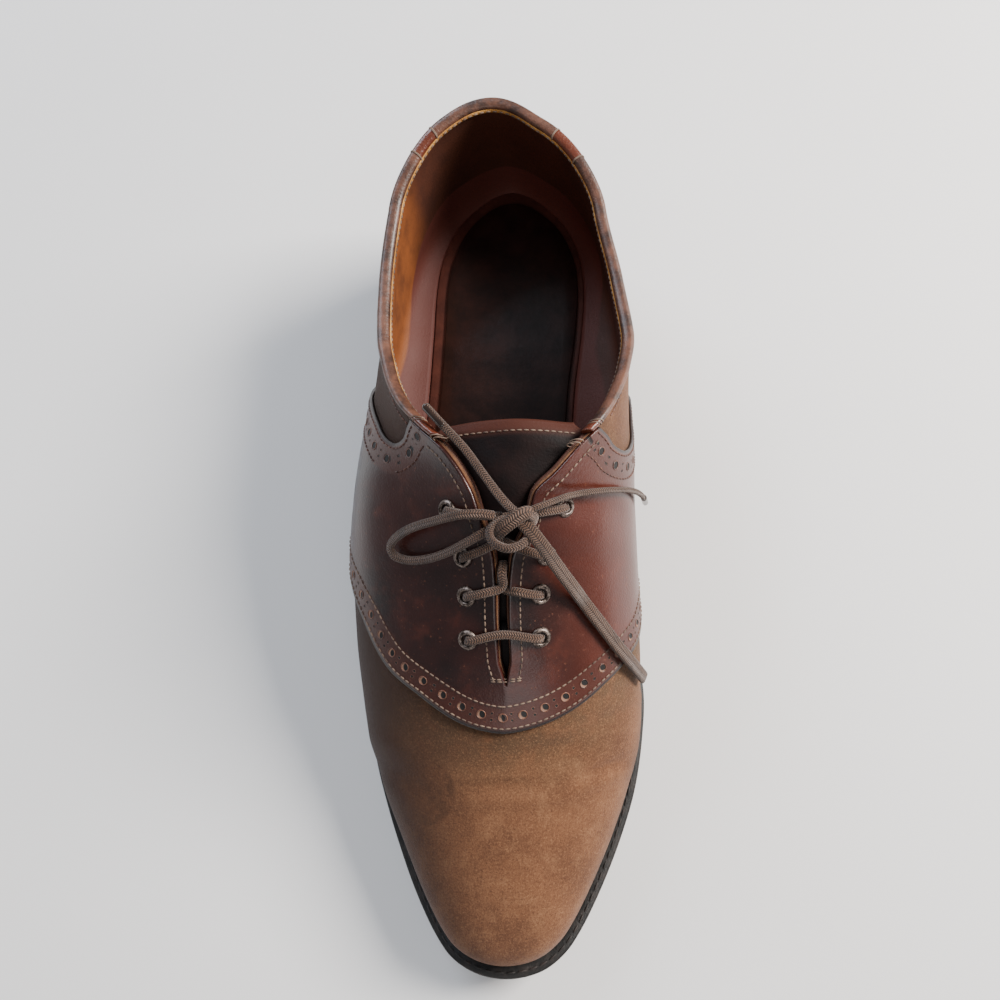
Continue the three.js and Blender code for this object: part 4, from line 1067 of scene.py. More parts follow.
@dataclass(frozen=True)
class SaddleLeather:
    """Burnished smooth leather of the saddle and the counter, with its brogued bands and painted light and
    shade.
    """

    deep: int = 0x140807
    red: int = 0x32120D
    warm: int = 0x5C281A
    band: int = 0x421C11
    raw: int = 0x8E6A56
    scuff: int = 0x8A5238
    cut: int = 0x0E0605
    # Near black of the holes, a painted shade.
    hole_shade: int = 0x060302

    BAND = 0.0094
    OUTER_STITCH = 0.0016
    INNER_STITCH = 0.0090
    HOLE_MIDDLE = 0.0053
    HOLE = 0.00138
    PINHOLE = 0.00050
    CRESCENT = 0.0005
    PINHOLE_GAP = 0.0011
    PITCH = 0.0075
    CUT_EDGE = 0.0008
    HOLES = (
        (HOLE_MIDDLE, HOLE, 0.0), (HOLE_MIDDLE + PINHOLE_GAP, PINHOLE, 0.5),
        (HOLE_MIDDLE - PINHOLE_GAP, PINHOLE, 0.5),
    )

    def _band(self, s: Shader, u: Wire, v: Wire) -> tuple[Wire, Wire, Wire]:
        """Holes, edge and band of one brogued border."""
        large, upper, lower = (
            s.dots(u, v, middle, radius, self.PITCH, shift) for middle, radius, shift in self.HOLES
        )
        edge = v.rise(self.CUT_EDGE * 0.5, self.CUT_EDGE * 1.6, 1.0, 0.0)
        band = v.rise(self.BAND - self.CUT_EDGE, self.BAND + self.CUT_EDGE, 1.0, 0.0)
        return large.most(upper).most(lower), edge, band

    def build(self) -> bpy.types.Material:
        """Make the material."""
        s = Shader("saddle_leather")
        u, v = s.map("front")
        holes, edge, band = self._band(s, u, v)
        # Raw tan inner wall of each hole, shown on one side only: painted light where the light falls on the
        # wall.
        shift = -1.3 * self.CRESCENT / self.PITCH
        shifted = s.dots(u, v, self.HOLE_MIDDLE + 0.7 * self.CRESCENT, self.HOLE, self.PITCH, shift)
        lit_raw_wall = (s.dots(u, v, self.HOLE_MIDDLE, self.HOLE, self.PITCH) - shifted).most(0.0)
        rear_holes, rear_edge, rear_band = self._band(s, *s.map("rear"))
        holes, edge, band = holes.most(rear_holes), edge.most(rear_edge), band.most(rear_band)
        broad = s.noise(26, 3, 0.55)
        cloudy = s.noise(90, 4, 0.6)
        base = s.mix(broad.rise(0.35, 0.62), colour(self.deep), colour(self.red))
        base = s.mix(cloudy.rise(0.5, 0.8) * 0.5, base, colour(self.warm))
        # Painted light: the medial side is warmer and lighter, as if lit from that side.
        base = s.mix(s.axis("X").rise(0.008, 0.040, 0.0, 0.6), base, colour(self.warm))
        base = s.mix(band * 0.72, base, colour(self.band))
        worn = s.noise(700, 3, 0.7)
        base = s.mix(worn.rise(0.62, 0.75) * 0.35, base, colour(self.scuff))
        base = s.mix(edge * 0.85, base, colour(self.cut))
        # Painted shade: the punched holes are near black.
        base = s.mix(holes, base, colour(self.hole_shade))
        # Painted light on the lit side of each hole's raw wall.
        base = s.mix(lit_raw_wall, base, colour(self.raw))
        grain = s.cells(1500)
        fine = s.noise(2400, 2, 0.5)
        wrinkle = s.noise(260, 4, 0.65, s.place((1.0, 0.5, 1.0)))
        height = 1.0 - holes + grain * 0.06 + fine * 0.04 + wrinkle * 0.12 - edge * 0.4
        rough = 0.25 + cloudy * 0.14 + band * 0.10 + holes * 0.4 + worn.rise(0.55, 0.8) * 0.12
        return s.surface(base, rough, height, 0.0006, Coat_Weight=0.15, Coat_Roughness=0.2,
                         Specular_IOR_Level=0.5)


@dataclass(frozen=True)
class PlainLeather:
    """Leather or a like material of one colour with soft clouds and a fine grain."""

    name: str
    dark: int
    light: int
    rough: float = 0.5
    grain: float = 1400.0
    depth: float = 0.0002
    coat: float = 0.0
    specular: float = 0.5

    def build(self) -> bpy.types.Material:
        """Make the material."""
        s = Shader(self.name)
        cloudy = s.noise(120, 4, 0.6)
        fine = s.noise(self.grain, 3, 0.6)
        base = s.mix(cloudy.rise(0.3, 0.7), colour(self.dark), colour(self.light))
        base = s.mix(fine.rise(0.4, 0.8) * 0.3, base, colour(self.dark))
        height = fine * 0.6 + s.cells(self.grain * 0.7) * 0.4
        rough = self.rough + cloudy * 0.12 - 0.06
        return s.surface(base, rough, height, self.depth, Coat_Weight=self.coat, Coat_Roughness=0.15,
                         Specular_IOR_Level=self.specular)


@dataclass(frozen=True)
class TongueLeather:
    """Near-black leather of the tongue, redder towards its top edge."""

    dark: int = 0x0C0505
    light: int = 0x190A08
    red: int = 0x46241A

    def build(self) -> bpy.types.Material:
        """Make the material."""
        s = Shader("tongue_leather")
        cloudy = s.noise(120, 4, 0.6)
        fine = s.noise(1200, 3, 0.6)
        base = s.mix(cloudy.rise(0.3, 0.7), colour(self.dark), colour(self.light))
        base = s.mix(s.axis("Y").rise(0.0115, 0.0150) * 0.85, base, colour(self.red))
        return s.surface(base, 0.55 + cloudy * 0.1, fine, 0.0001, Specular_IOR_Level=0.16)


@dataclass(frozen=True)
class Lining:
    """Tan lining with painted light on the lateral inner wall and painted shade, brown-red, on the medial
    side and low inside; also brown-red round the heel.
    """

    tan: int = 0x8C4E22
    brown: int = 0x4A2618
    dark: int = 0x2E160F
    brick: int = 0x532820

    def build(self) -> bpy.types.Material:
        """Make the material."""
        s = Shader("lining_leather")
        cloudy = s.noise(70, 4, 0.6)
        fine = s.noise(1300, 3, 0.6)
        across, ahead = s.axis("X"), s.axis("Y")
        # Painted light and shade: tan on the lateral inner wall where the light falls, brown on the medial
        # side; also browner towards the heel.
        share = (across.rise(-0.034, -0.012) + ahead.rise(0.095, 0.125) * 0.8).least(1.0)
        base = s.mix(share, colour(self.tan), colour(self.brown))
        base = s.mix(cloudy.rise(0.4, 0.75) * 0.6, base, colour(self.dark))
        # Painted shade: darker lower down inside the shoe.
        height = s.axis("Z")
        base = s.mix(height.rise(0.040, 0.075, 0.35, 0.0), base, colour(self.dark))
        floor_line = ahead.rise(0.080, 0.130, 0.0365, 0.0465) + across.rise(-0.02, 0.02, 0.0022, 0.0)
        base = s.mix((height - floor_line).rise(-0.0005, 0.0005, 1.0, 0.0), base, colour(self.brick))
        relief = fine * 0.7 + cloudy * 0.3
        return s.surface(base, 0.6 + cloudy * 0.1, relief, 0.0002, Specular_IOR_Level=0.35)


@dataclass(frozen=True)
class RolledLeather:
    """Leather of the collar's binding, redder and glossier where it is worn."""

    dark: int = 0x2C1911
    light: int = 0x66402F
    worn: int = 0x5E2A1A
    rubbed: int = 0x8C6248

    def build(self) -> bpy.types.Material:
        """Make the material."""
        s = Shader("binding_leather")
        around, worn = s.map("roll")
        cloudy = s.noise(140, 4, 0.65)
        fine = s.noise(1600, 3, 0.6)
        base = s.mix(cloudy.rise(0.3, 0.7), colour(self.dark), colour(self.light))
        base = s.mix(worn * 0.8, base, colour(self.worn))
        base = s.mix(fine.rise(0.55, 0.8) * 0.4, base, colour(self.rubbed))
        side = abs(around - 0.5).rise(0.05, 0.45)
        height = fine * 0.5 + s.cells(1100) * 0.3 + side * 0.1
        return s.surface(base, 0.42 + cloudy * 0.1 - worn * 0.16, height, 0.00022, Coat_Weight=0.15,
                         Coat_Roughness=0.2, Specular_IOR_Level=0.5)


@dataclass(frozen=True)
class Braid:
    """Flat waxed lace with a chevron braid, painted shade in its seams and painted highlights on its ridges.
    """

    dark: int = 0x1A0F0A
    mid: int = 0x4C3427
    light: int = 0x8A6A54

    PLAIT = 0.00075
    COLUMNS = 12

    def build(self) -> bpy.types.Material:
        """Make the material."""
        s = Shader("lace_cotton")
        across, along = s.map("lace")
        plait = 1.0 / self.COLUMNS
        slant = abs(across.within(2 * plait) - plait) * self.COLUMNS
        ridges = (along / self.PLAIT + slant * 0.8).within(1.0) - 0.5
        seams = abs(across.within(plait) - 0.5 * plait) * (2 * self.COLUMNS)
        bump = (1.0 - abs(ridges) * 2.0) * seams.rise(0.75, 1.0, 1.0, 0.25)
        fibre = s.noise(3000, 2, 0.7)
        # Painted shade in the seams between the strands, and painted highlights on their ridges.
        base = s.mix(bump.rise(0.05, 0.5), colour(self.dark), colour(self.mid))
        base = s.mix(bump.rise(0.4, 0.9) * fibre.rise(0.3, 0.65) * 0.6, base, colour(self.light))
        patch = s.noise(150, 2, 0.6)
        base = s.mix(patch.rise(0.5, 0.75) * 0.45, base, colour(self.dark))
        return s.surface(base, 0.62, bump * 0.8 + fibre * 0.2, 0.0003, Sheen_Weight=0.15,
                         Specular_IOR_Level=0.35)


@dataclass(frozen=True)
class SoleEdge:
    """Black burnished edge of the sole, with dust in its grain."""

    dark: int = 0x0B0908
    light: int = 0x2A2320
    dust: int = 0x5A514B

    def build(self) -> bpy.types.Material:
        """Make the material."""
        s = Shader("sole_edge")
        patch = s.noise(240, 4, 0.65)
        fine = s.noise(1800, 3, 0.6)
        base = s.mix(patch.rise(0.4, 0.75), colour(self.dark), colour(self.light))
        base = s.mix(fine.rise(0.6, 0.8) * 0.35, base, colour(self.dust))
        relief = fine * 0.6 + patch * 0.4
        return s.surface(base, 0.38 + patch * 0.3, relief, 0.00025, Specular_IOR_Level=0.5)


@dataclass(frozen=True)
class Metal:
    """Dark antique metal of the eyelets."""

    dark: int = 0x3A302B
    light: int = 0x8E8078

    def build(self) -> bpy.types.Material:
        """Make the material."""
        s = Shader("eyelet_metal")
        worn = s.noise(900, 3, 0.7)
        base = s.mix(worn.rise(0.35, 0.65), colour(self.dark), colour(self.light))
        return s.surface(base, 0.32 + worn * 0.2, worn, 0.00008, metal=0.85)


@dataclass(frozen=True)
class Floor:
    """Pale seamless floor."""

    low: int = 0xEDEBEA
    high: int = 0xF6F4F3

    def build(self) -> bpy.types.Material:
        """Make the material."""
        s = Shader("floor")
        soft = s.noise(6, 2, 0.5)
        base = s.mix(soft, colour(self.low), colour(self.high))
        return s.surface(base, 0.7 + soft * 0.1, soft, 0.0001, Specular_IOR_Level=0.2)


class Finishes:
    """All materials of the shoe, made once."""

    def __init__(self) -> None:
        self.nubuck = Nubuck().build()
        self.saddle = SaddleLeather().build()
        self.raw_edge = PlainLeather("raw_edge", 0x8E5C26, 0xD0984E, 0.85, 1800, 0.0003).build()
        self.dark_edge = PlainLeather("dark_edge", 0x120807, 0x2A130D, 0.7, 1500, 0.0002, 0.0, 0.25).build()
        self.rim = PlainLeather("hole_rim", 0x3E1C12, 0x7E523E, 0.4, 2000, 0.0001, 0.1).build()
        self.lining = Lining().build()
        self.insole = PlainLeather("insole_leather", 0x42201A, 0x562C22, 0.5, 900, 0.0001).build()
        self.pad = PlainLeather("heel_pad_leather", 0x1C100E, 0x2C1814, 0.34, 700, 0.00006, 0.05, 0.3).build()
        self.tongue = TongueLeather().build()
        self.binding = RolledLeather().build()
        self.thread = PlainLeather("thread", 0x4A382F, 0x86705F, 0.7, 3000, 0.0001).build()
        self.dark_thread = PlainLeather("dark_thread", 0x3A211A, 0x6E4636, 0.6, 3000, 0.0001).build()
        self.welt_thread = PlainLeather("welt_thread", 0x14100E, 0x302724, 0.6, 3000, 0.0001).build()
        self.edge = SoleEdge().build()
        self.rubber = PlainLeather("heel_rubber", 0x0D0C0C, 0x1E1C1B, 0.7, 800, 0.0003).build()
        self.lace = Braid().build()
        self.aglet = PlainLeather("aglet", 0x140D0A, 0x33231B, 0.22, 800, 0.00005, 0.4).build()
        self.metal = Metal().build()
        self.floor = Floor().build()


def sweep(name: str, path: np.ndarray, ups: np.ndarray, width: float, depth: float, around: int = 16,
          step: float = 0.0008, blunt: float = 0.6) -> bpy.types.Object:
    """Run a flat oval section along a line, with rounded ends.

    Args:
        name: The piece's name.
        path: The line.
        ups: The direction that the flat face looks in, at each point of the line.
        width: The section's width.
        depth: The section's depth.
        around: How many sides the section has.
        step: The length of one ring.
        blunt: How square the section is, with 1 an ellipse.

    Returns:
        The piece, with a map "lace" of the share round it and the length along it.
    """
    way = arc_lengths(path)
    line = resample(path, step)
    at = np.linspace(0, way[-1], len(line))
    up = unit(np.stack([np.interp(at, way, ups[:, k]) for k in range(3)], axis=1))
    tangent = unit(np.gradient(line, axis=0))
    side = unit(np.cross(tangent, up))
    up = np.cross(side, tangent)
    turn = np.linspace(0, 2 * np.pi, around + 1)
    wide, deep = (np.sign(wave) * np.abs(wave) ** blunt for wave in (np.cos(turn), np.sin(turn)))
    wide, deep = wide[:, None] * width / 2, deep[:, None] * depth / 2
    cap = 0.45 * depth
    ends = ((0.0, 0.0), (0.6, 0.35), (0.9, 0.75))
    places = [(0, cap * (back - 1), share) for share, back in ends]
    places += [(i, 0.0, 1.0) for i in range(len(line))]
    places += [(-1, cap * (1 - back), share) for share, back in reversed(ends)]
    rings, maps = [], []
    for i, shift, share in places:
        rings.append(line[i] + tangent[i] * shift + share * (wide * side[i] + deep * up[i]))
        maps.append(np.stack([turn / (2 * np.pi), np.full_like(turn, at[i] + shift)], axis=1))
    piece = grid_piece(name, np.array(rings), {"lace": np.array(maps)})
    outward(piece)
    return piece


class Copies:
    """Copies of one small shape, laid on a skin and joined."""

    def __init__(self, skin: BVHTree) -> None:
        self.skin = skin
        select()
        self.add_pattern()
        pattern = bpy.context.active_object
        self.corners = np.array([vertex.co[:] for vertex in pattern.data.vertices])
        self.faces = np.array([tuple(polygon.vertices) for polygon in pattern.data.polygons], dtype=object)
        bpy.data.objects.remove(pattern)

    def add_pattern(self) -> None:
        """Add the shape that is copied."""
        raise NotImplementedError

    def join(self, name: str, copies: Sequence[np.ndarray], material: bpy.types.Material,
             slot: str) -> bpy.types.Object:
        """Join copies of the shape, each given by the places of its corners."""
        count = len(self.corners)
        faces = [tuple(k * count + i for i in face) for k in range(len(copies)) for face in self.faces]
        mesh = bpy.data.meshes.new(name)
        mesh.from_pydata(np.concatenate(copies).tolist(), [], faces)
        mesh.shade_smooth()
        piece = bpy.data.objects.new(name, mesh)
        bpy.context.scene.collection.objects.link(piece)
        outward(piece)
        return finish_piece(piece, [material])


class Stitching(Copies):
    """Rows of stitches, each stitch a copy of one bead of thread."""

    RADIUS = 0.00029
    LENGTH = 0.0017
    PITCH = 0.0020
    SINK = 0.00004

    def add_pattern(self) -> None:
        """Add one stitch of radius 1."""
        bpy.ops.mesh.primitive_uv_sphere_add(segments=8, ring_count=6, radius=1)

    def row(self, name: str, lines: Sequence[np.ndarray], material: bpy.types.Material,
            pitch: float = PITCH, size: float = 1.0) -> bpy.types.Object:
        """Sew rows of stitches along lines and join them.

        Args:
            name: The piece's name.
            lines: The lines, near the skin.
            material: The thread's material.
            pitch: The length from stitch to stitch.
            size: The thread's size, as a share of the usual.

        Returns:
            The piece.
        """
        half = np.array([0.5 * self.LENGTH * pitch / self.PITCH, self.RADIUS * size, self.RADIUS * size])
        stitches = []
        for line in lines:
            spots, ways = laid_on(self.skin, resample(line, pitch), self.SINK)
            for spot, up, along in zip(spots, ways, unit(np.gradient(spots, axis=0))):
                side = unit(np.cross(along, up))
                turned = np.array([along, side, np.cross(side, along)])
                stitches.append(spot + self.corners * half @ turned)
        return self.join(name, stitches, material, "lace_cotton")


class Punching(Copies):
    """Rims of punched holes, each copied from one ring."""

    THICK = 0.13
    SINK = 0.00003
    TURNED_FROM = (0.3, 0.9, 0.1)

    def add_pattern(self) -> None:
        """Add one rim of radius 1."""
        bpy.ops.mesh.primitive_torus_add(
            major_segments=20, minor_segments=6, major_radius=1.0, minor_radius=self.THICK,
        )

    def rims(self, name: str, rows: Sequence[tuple], material: bpy.types.Material) -> bpy.types.Object:
        """Lay rows of rims and join them.

        Args:
            name: The piece's name.
            rows: For each row the band's edge, the row's own line with as many points, the
                radius of the holes, and the shift of the first hole as a share of the pitch.
            material: The material.

        Returns:
            The piece.
        """
        copies = []
        for edge, line, radius, shift in rows:
            way = arc_lengths(edge)
            at = np.arange(0.5 - shift, way[-1] / SaddleLeather.PITCH, 1.0) * SaddleLeather.PITCH
            spots = np.stack([np.interp(at, way, line[:, k]) for k in range(3)], axis=1)
            for spot, up in zip(*laid_on(self.skin, spots, -self.SINK)):
                side = unit(np.cross(up, self.TURNED_FROM))
                copies.append(spot + radius * self.corners @ np.array([side, np.cross(up, side), up]))
        return self.join(name, copies, material, "saddle_leather")


@dataclass
class Upper:
    """Nubuck body, lining, saddle, counter, tongue and binding."""

    last: Last
    finishes: Finishes

    ROUND = 250
    UP = 74
    LINING_ROUND = 200
    LINING_UP = 56
    LINING_SHARE = 0.45
    LINING_GAP = 0.00003
    OVERLAY_GAP = 0.0001
    OVERLAY_FOOT = -0.92
    FAR = 0.1
    TONGUE_SOFTENING = 40
    TONGUE_STITCH_ROWS = 6
    HIDDEN = 40
    THROAT_SEAM = 0.0033
    TOPLINE_SEAM = 0.0034
    TOPLINE_START = 0.57
    TACKS = 2
    TACK_STEP = 0.0009
    WIND_STEP = 0.005
    EDGING = 0.0015
    COLLAR_MIDDLE = (0.004, 0.070, 0.0)
    EDGING_TURN = 1.12 * math.pi
    SIDE_REACH = 0.025
    EDGE_ROWS = np.linspace(-0.4, 1, 200)
    COUNTER_ROWS = np.linspace(-0.4, 1, 160)
    FRONT_WALKS = (1.0, 2.0)
    REAR_WALKS = (1.3, 2.0)
    COUNTER_WALKS = (1.7, 3.0)

    def line(self, side: Side, walks: np.ndarray, rows: np.ndarray, lift: float,
             inset: float) -> np.ndarray:
        """Line on the wall, moved to its left as it runs by an inset."""
        points = self.last.surface(side, walks, rows, lift)
        return beside(points, self.last.normals(side, walks, np.minimum(rows, 0.97)), inset)

    def front_line(self, lift: float, inset: float = 0.0) -> np.ndarray:
        """Front edge of the saddle, from the lateral sole over the ridge to the medial sole."""
        halves = []
        for side, inward in zip(SIDES, (inset, -inset)):
            walks = self.last.walk_on_line(side, SADDLE_FRONT[side], self.EDGE_ROWS, *self.FRONT_WALKS)
            halves.append(self.line(side, walks, self.EDGE_ROWS, lift, inward))
        return np.concatenate([halves[0], halves[1][::-1]])

    def rear_line(self, side: Side, lift: float, inset: float = 0.0) -> np.ndarray:
        """Rear edge of the saddle on one side, from the sole to the rim."""
        walks = self.last.walk_on_line(side, SADDLE_REAR[side], self.EDGE_ROWS, *self.REAR_WALKS)
        return self.line(side, walks, self.EDGE_ROWS, lift, -inset if side is Side.LATERAL else inset)

    def throat_line(self, side: Side, lift: float, inset: float = 0.0) -> np.ndarray:
        """Edge of one facing, from the throat's bottom to the collar."""
        walks = self.last.walk_at(np.linspace(THROAT + 0.001, BINDING_START, 150))
        return self.line(side, walks, np.ones_like(walks), lift, inset if side is Side.LATERAL else -inset)

    def counter_line(self, side: Side, lift: float, inset: float = 0.0) -> np.ndarray:
        """Front edge of the heel counter on one side, from the sole to the rim."""
        walks = self.last.walk_on_line(side, COUNTER_FRONT, self.COUNTER_ROWS, *self.COUNTER_WALKS)
        return self.line(side, walks, self.COUNTER_ROWS, lift, inset if side is Side.LATERAL else -inset)

    def shell(self, name: str, lift: float, wall: float, round_count: int,
              up_count: int) -> bpy.types.Object:
        """Whole wall round the foot as one sheet of real thickness."""
        walks = self.last.even_walks(round_count, 0, 3)
        rows = self.last.even_rows(up_count)
        points = round_trip(lambda side: self.last.surface(side, walks, rows[:, None], lift), axis=1)
        away = [band_map(points, self.front_line(lift))[..., 1]]
        away.append(np.minimum(*(band_map(points, self.rear_line(side, lift))[..., 1] for side in SIDES)))
        piece = grid_piece(name, points, {"lines": np.stack(away, axis=-1)})
        outward(piece)
        self.face_out(piece)
        thicken(piece, wall, -1)
        return piece

    def face_out(self, piece: bpy.types.Object) -> None:
        """Turn an open sheet so that its faces on the shoe's sides look away from its middle."""
        sides = [face for face in piece.data.polygons if abs(face.center.x) > self.SIDE_REACH]
        if sum(face.normal.x * face.center.x for face in sides) < 0:
            in_edit_mode(piece, bpy.ops.mesh.flip_normals)

    def build_body(self) -> bpy.types.Object:
        """Make the nubuck body."""
        wall = UPPER_WALL * (1 - self.LINING_SHARE)
        body = self.shell("nubuck_body", 0.0, wall, self.ROUND, self.UP)
        return finish_piece(body, [self.finishes.nubuck, self.finishes.raw_edge], ["upper"])

    def build_lining(self) -> bpy.types.Object:
        """Make the lining inside the body."""
        lift = -UPPER_WALL * (1 - self.LINING_SHARE) - self.LINING_GAP
        wall = UPPER_WALL * self.LINING_SHARE
        lining = self.shell("lining", lift, wall, self.LINING_ROUND, self.LINING_UP)
        return finish_piece(lining, [self.finishes.lining, self.finishes.raw_edge])

    def saddle_half(self, side: Side) -> bpy.types.Object:
        """Sheet of one side of the saddle, before it gets its thickness."""
        rows = self.last.even_rows(150, self.OVERLAY_FOOT)
        front = self.last.walk_on_line(side, SADDLE_FRONT[side], rows, *self.FRONT_WALKS)
        rear = self.last.walk_on_line(side, SADDLE_REAR[side], rows, *self.REAR_WALKS)
        throat = (float(self.last.walk_at(THROAT)) - front[-1]) / (rear[-1] - front[-1])
        share = np.concatenate([np.linspace(0, throat, 24, endpoint=False), np.linspace(throat, 1, 126)])
        walks = front[:, None] + share[None, :] * (rear - front)[:, None]
        points = self.last.surface(side, walks, rows[:, None], self.OVERLAY_GAP)
        maps = {
            "front": band_map(points, self.front_line(self.OVERLAY_GAP)),
            "rear": band_map(points, self.rear_line(side, self.OVERLAY_GAP)),
        }
        half = grid_piece(f"saddle_{side}", points, maps)
        self.face_out(half)
        return half

    def build_saddle(self) -> bpy.types.Object:
        """Make the saddle from both its sides."""
        saddle = join_pieces("saddle_overlay", [self.saddle_half(side) for side in SIDES])
        return self.finish_overlay(saddle, "saddle")

    def finish_overlay(self, overlay: bpy.types.Object, node: str) -> bpy.types.Object:
        """Give a sheet of smooth leather its thickness and its finish."""
        self.face_out(overlay)
        thicken(overlay, OVERLAY_WALL, 1)
        materials = [self.finishes.saddle, self.finishes.dark_edge]
        return finish_piece(overlay, materials, [node])

    def build_counter(self) -> bpy.types.Object:
        """Make the heel counter round the back."""
        rows = self.last.even_rows(90, self.OVERLAY_FOOT, 3.0)
        share = np.linspace(0, 1, 90)

        def half(side: Side) -> np.ndarray:
            low = self.last.walk_on_line(side, COUNTER_FRONT, rows, *self.COUNTER_WALKS)[:, None]
            return self.last.surface(side, low + share * (3.0 - low), rows[:, None], self.OVERLAY_GAP)

        points = round_trip(half, skip=1, axis=1)
        bands = [band_map(points, self.counter_line(side, self.OVERLAY_GAP)) for side in SIDES]
        nearest = np.where((bands[0][..., 1] < bands[1][..., 1])[..., None], bands[0], bands[1])
        maps = {"front": nearest, "rear": np.full_like(nearest, self.FAR)}
        return self.finish_overlay(grid_piece("counter_overlay", points, maps), "heel_counter")

    def binding_section(self, side: Side, walks: np.ndarray, turns: np.ndarray,
                        grow: float = 0.0) -> np.ndarray:
        """Rings of the rolled binding on one side, by turn and walk."""
        planes = self.last.planes(side, walks[None, :])
        lean = np.radians(planes.lean)
        middle = (CLEARANCE + OVERLAY_WALL - UPPER_WALL) / 2
        half_width = BINDING_WIDTH / 2 + grow
        half_height = (BINDING_HEIGHT + BINDING_SEAT) / 2 + 0.0002 + grow
        n = middle + half_width * np.sign(np.cos(turns)) * np.abs(np.cos(turns)) ** 0.8
        t = half_height - grow - 0.0001 + half_height * np.sin(turns)
        n, t = n[:, None], t[:, None]
        reach = planes.edge + n * np.sin(lean) - t * np.cos(lean)
        return planes.point(reach, planes.top + n * np.cos(lean) + t * np.sin(lean))

    def build_binding(self) -> bpy.types.Object:
        """Make the rolled binding of the collar."""
        walks = self.last.even_walks(300, float(self.last.walk_at(BINDING_START)), 3.0, 1.0)
        turns = np.linspace(0, 2 * np.pi, 21)
        rings = round_trip(lambda side: self.binding_section(side, walks, turns), skip=1, axis=1)
        caps = []
        for end in (0, -1):
            centre = rings[:, end].mean(axis=0)
            caps.append([centre + (rings[:, end] - centre) * share for share in (0.0, 0.75)])
        columns = [*caps[0], *(rings[:, i] for i in range(rings.shape[1])), *caps[1][::-1]]
        points = np.stack(columns, axis=1)
        around = np.broadcast_to((turns / (2 * np.pi))[:, None], points.shape[:2])
        worn = np.broadcast_to(self.worn_share(walks), points.shape[:2])
        binding = grid_piece("collar_binding_roll", points, {"roll": np.stack([around, worn], axis=-1)})
        outward(binding)
        return finish_piece(binding, [self.finishes.binding], ["collar_binding"])

    def build_edging(self) -> None:
        """Lay the lining's raw edge inside the binding, with its seam."""
        walks = np.linspace(float(self.last.walk_at(BINDING_START)) + 0.004, 3.0, 220)
        turn = np.array([self.EDGING_TURN])
        path = round_trip(lambda side: self.binding_section(side, walks, turn, 0.0002)[0], skip=1)
        inward = unit((np.array(self.COLLAR_MIDDLE) - path) * (1, 1, 0))
        edging = sweep("collar_edging", path, inward, self.EDGING, 0.0006, 10, 0.0012, 1.0)
        finish_piece(edging, [self.finishes.raw_edge])
        Stitching(skin_of(edging)).row("seam_edging", [path + 0.002 * inward], self.finishes.thread)

    @staticmethod
    def worn_share(walks: np.ndarray) -> np.ndarray:
        """How worn the binding is at each of its columns, 1 between two windings of thread."""
        def half(side: Side) -> np.ndarray:
            return sum(((walks > low) & (walks < high)).astype(float) for low, high in BINDING_MARKS[side])

        return np.pad(round_trip(half, skip=1), 2, mode="edge")

    def build_windings(self) -> bpy.types.Object:
        """Wind threads round the binding at its marks."""
        turns = np.linspace(-0.35 * np.pi, 1.35 * np.pi, 26)
        marks = [(side, mark) for side in SIDES for pair in BINDING_MARKS[side] for mark in pair]
        threads = []
        for side, mark in marks:
            for shift in (-self.WIND_STEP / 2, self.WIND_STEP / 2):
                path = self.binding_section(side, np.array([mark + shift]), turns, 0.0001)[:, 0]
                ups = path - path.mean(axis=0)
                threads.append(sweep(f"wind_{len(threads)}", path, ups, 0.0004, 0.0003, 8, 0.0004, 1.0))
        return finish_piece(join_pieces("binding_windings", threads), [self.finishes.thread])

    def under_wall(self, side: Side, along: float, reaches: np.ndarray, gap: float) -> np.ndarray:
        """Height of the wall's underside, deepened by a gap, at reaches inside a plane."""
        rows = np.linspace(0, 1, 400)
        planes = self.last.planes(side, np.full_like(rows, float(self.last.walk_at(along))))
        r, z = planes.wall(rows)
        dr, dz = np.gradient(r), np.gradient(z)
        size = np.hypot(dr, dz)
        inner_r, inner_z = r - gap * dz / size, z + gap * dr / size
        order = np.argsort(inner_r)
        return np.interp(reaches, inner_r[order], inner_z[order])

    def build_tongue(self) -> bpy.types.Object:
        """Make the tongue under the facings."""
        across = np.linspace(-1, 1, 61)
        rows = []
        for along in np.linspace(TONGUE["along"][0], TONGUE["along"][-1], 110):
            half = float(column(TONGUE, "half", along)) * BALL_WIDTH
            crown = float(column(TONGUE, "crown", along)) * INSTEP_HEIGHT
            line = []
            for share in across:
                side = Side.LATERAL if share < 0 else Side.MEDIAL
                planes = self.last.planes(side, float(self.last.walk_at(along)))
                reach = abs(share) * half
                lip = min(max(float(planes.edge), 0.2 * half), 0.9 * half)
                gap = UPPER_WALL + TONGUE_DEPTH
                z = float(self.under_wall(side, along, np.array([max(reach, lip)]), gap)[0])
                if reach < lip:
                    z += crown * (1 - (reach / lip) ** 2)
                line.append((float(planes.ox) + math.copysign(reach, share), station_y(along), z))
            rows.append(line)
        points = np.array(rows)
        for _ in range(self.TONGUE_SOFTENING):
            for turned in (points[..., 2], points[..., 2].T):
                padded = np.pad(turned, ((1, 1), (0, 0)), mode="edge")
                turned[:] = 0.5 * turned + 0.25 * (padded[:-2] + padded[2:])
        tongue = grid_piece("tongue_leaf", points)
        if sum(polygon.normal.z for polygon in tongue.data.polygons) < 0:
            in_edit_mode(tongue, bpy.ops.mesh.flip_normals)
        self.tongue_line = points[-self.TONGUE_STITCH_ROWS, 4:-4]
        thicken(tongue, TONGUE_WALL, -1)
        materials = [self.finishes.tongue, self.finishes.raw_edge]
        return finish_piece(tongue, materials, ["tongue"])

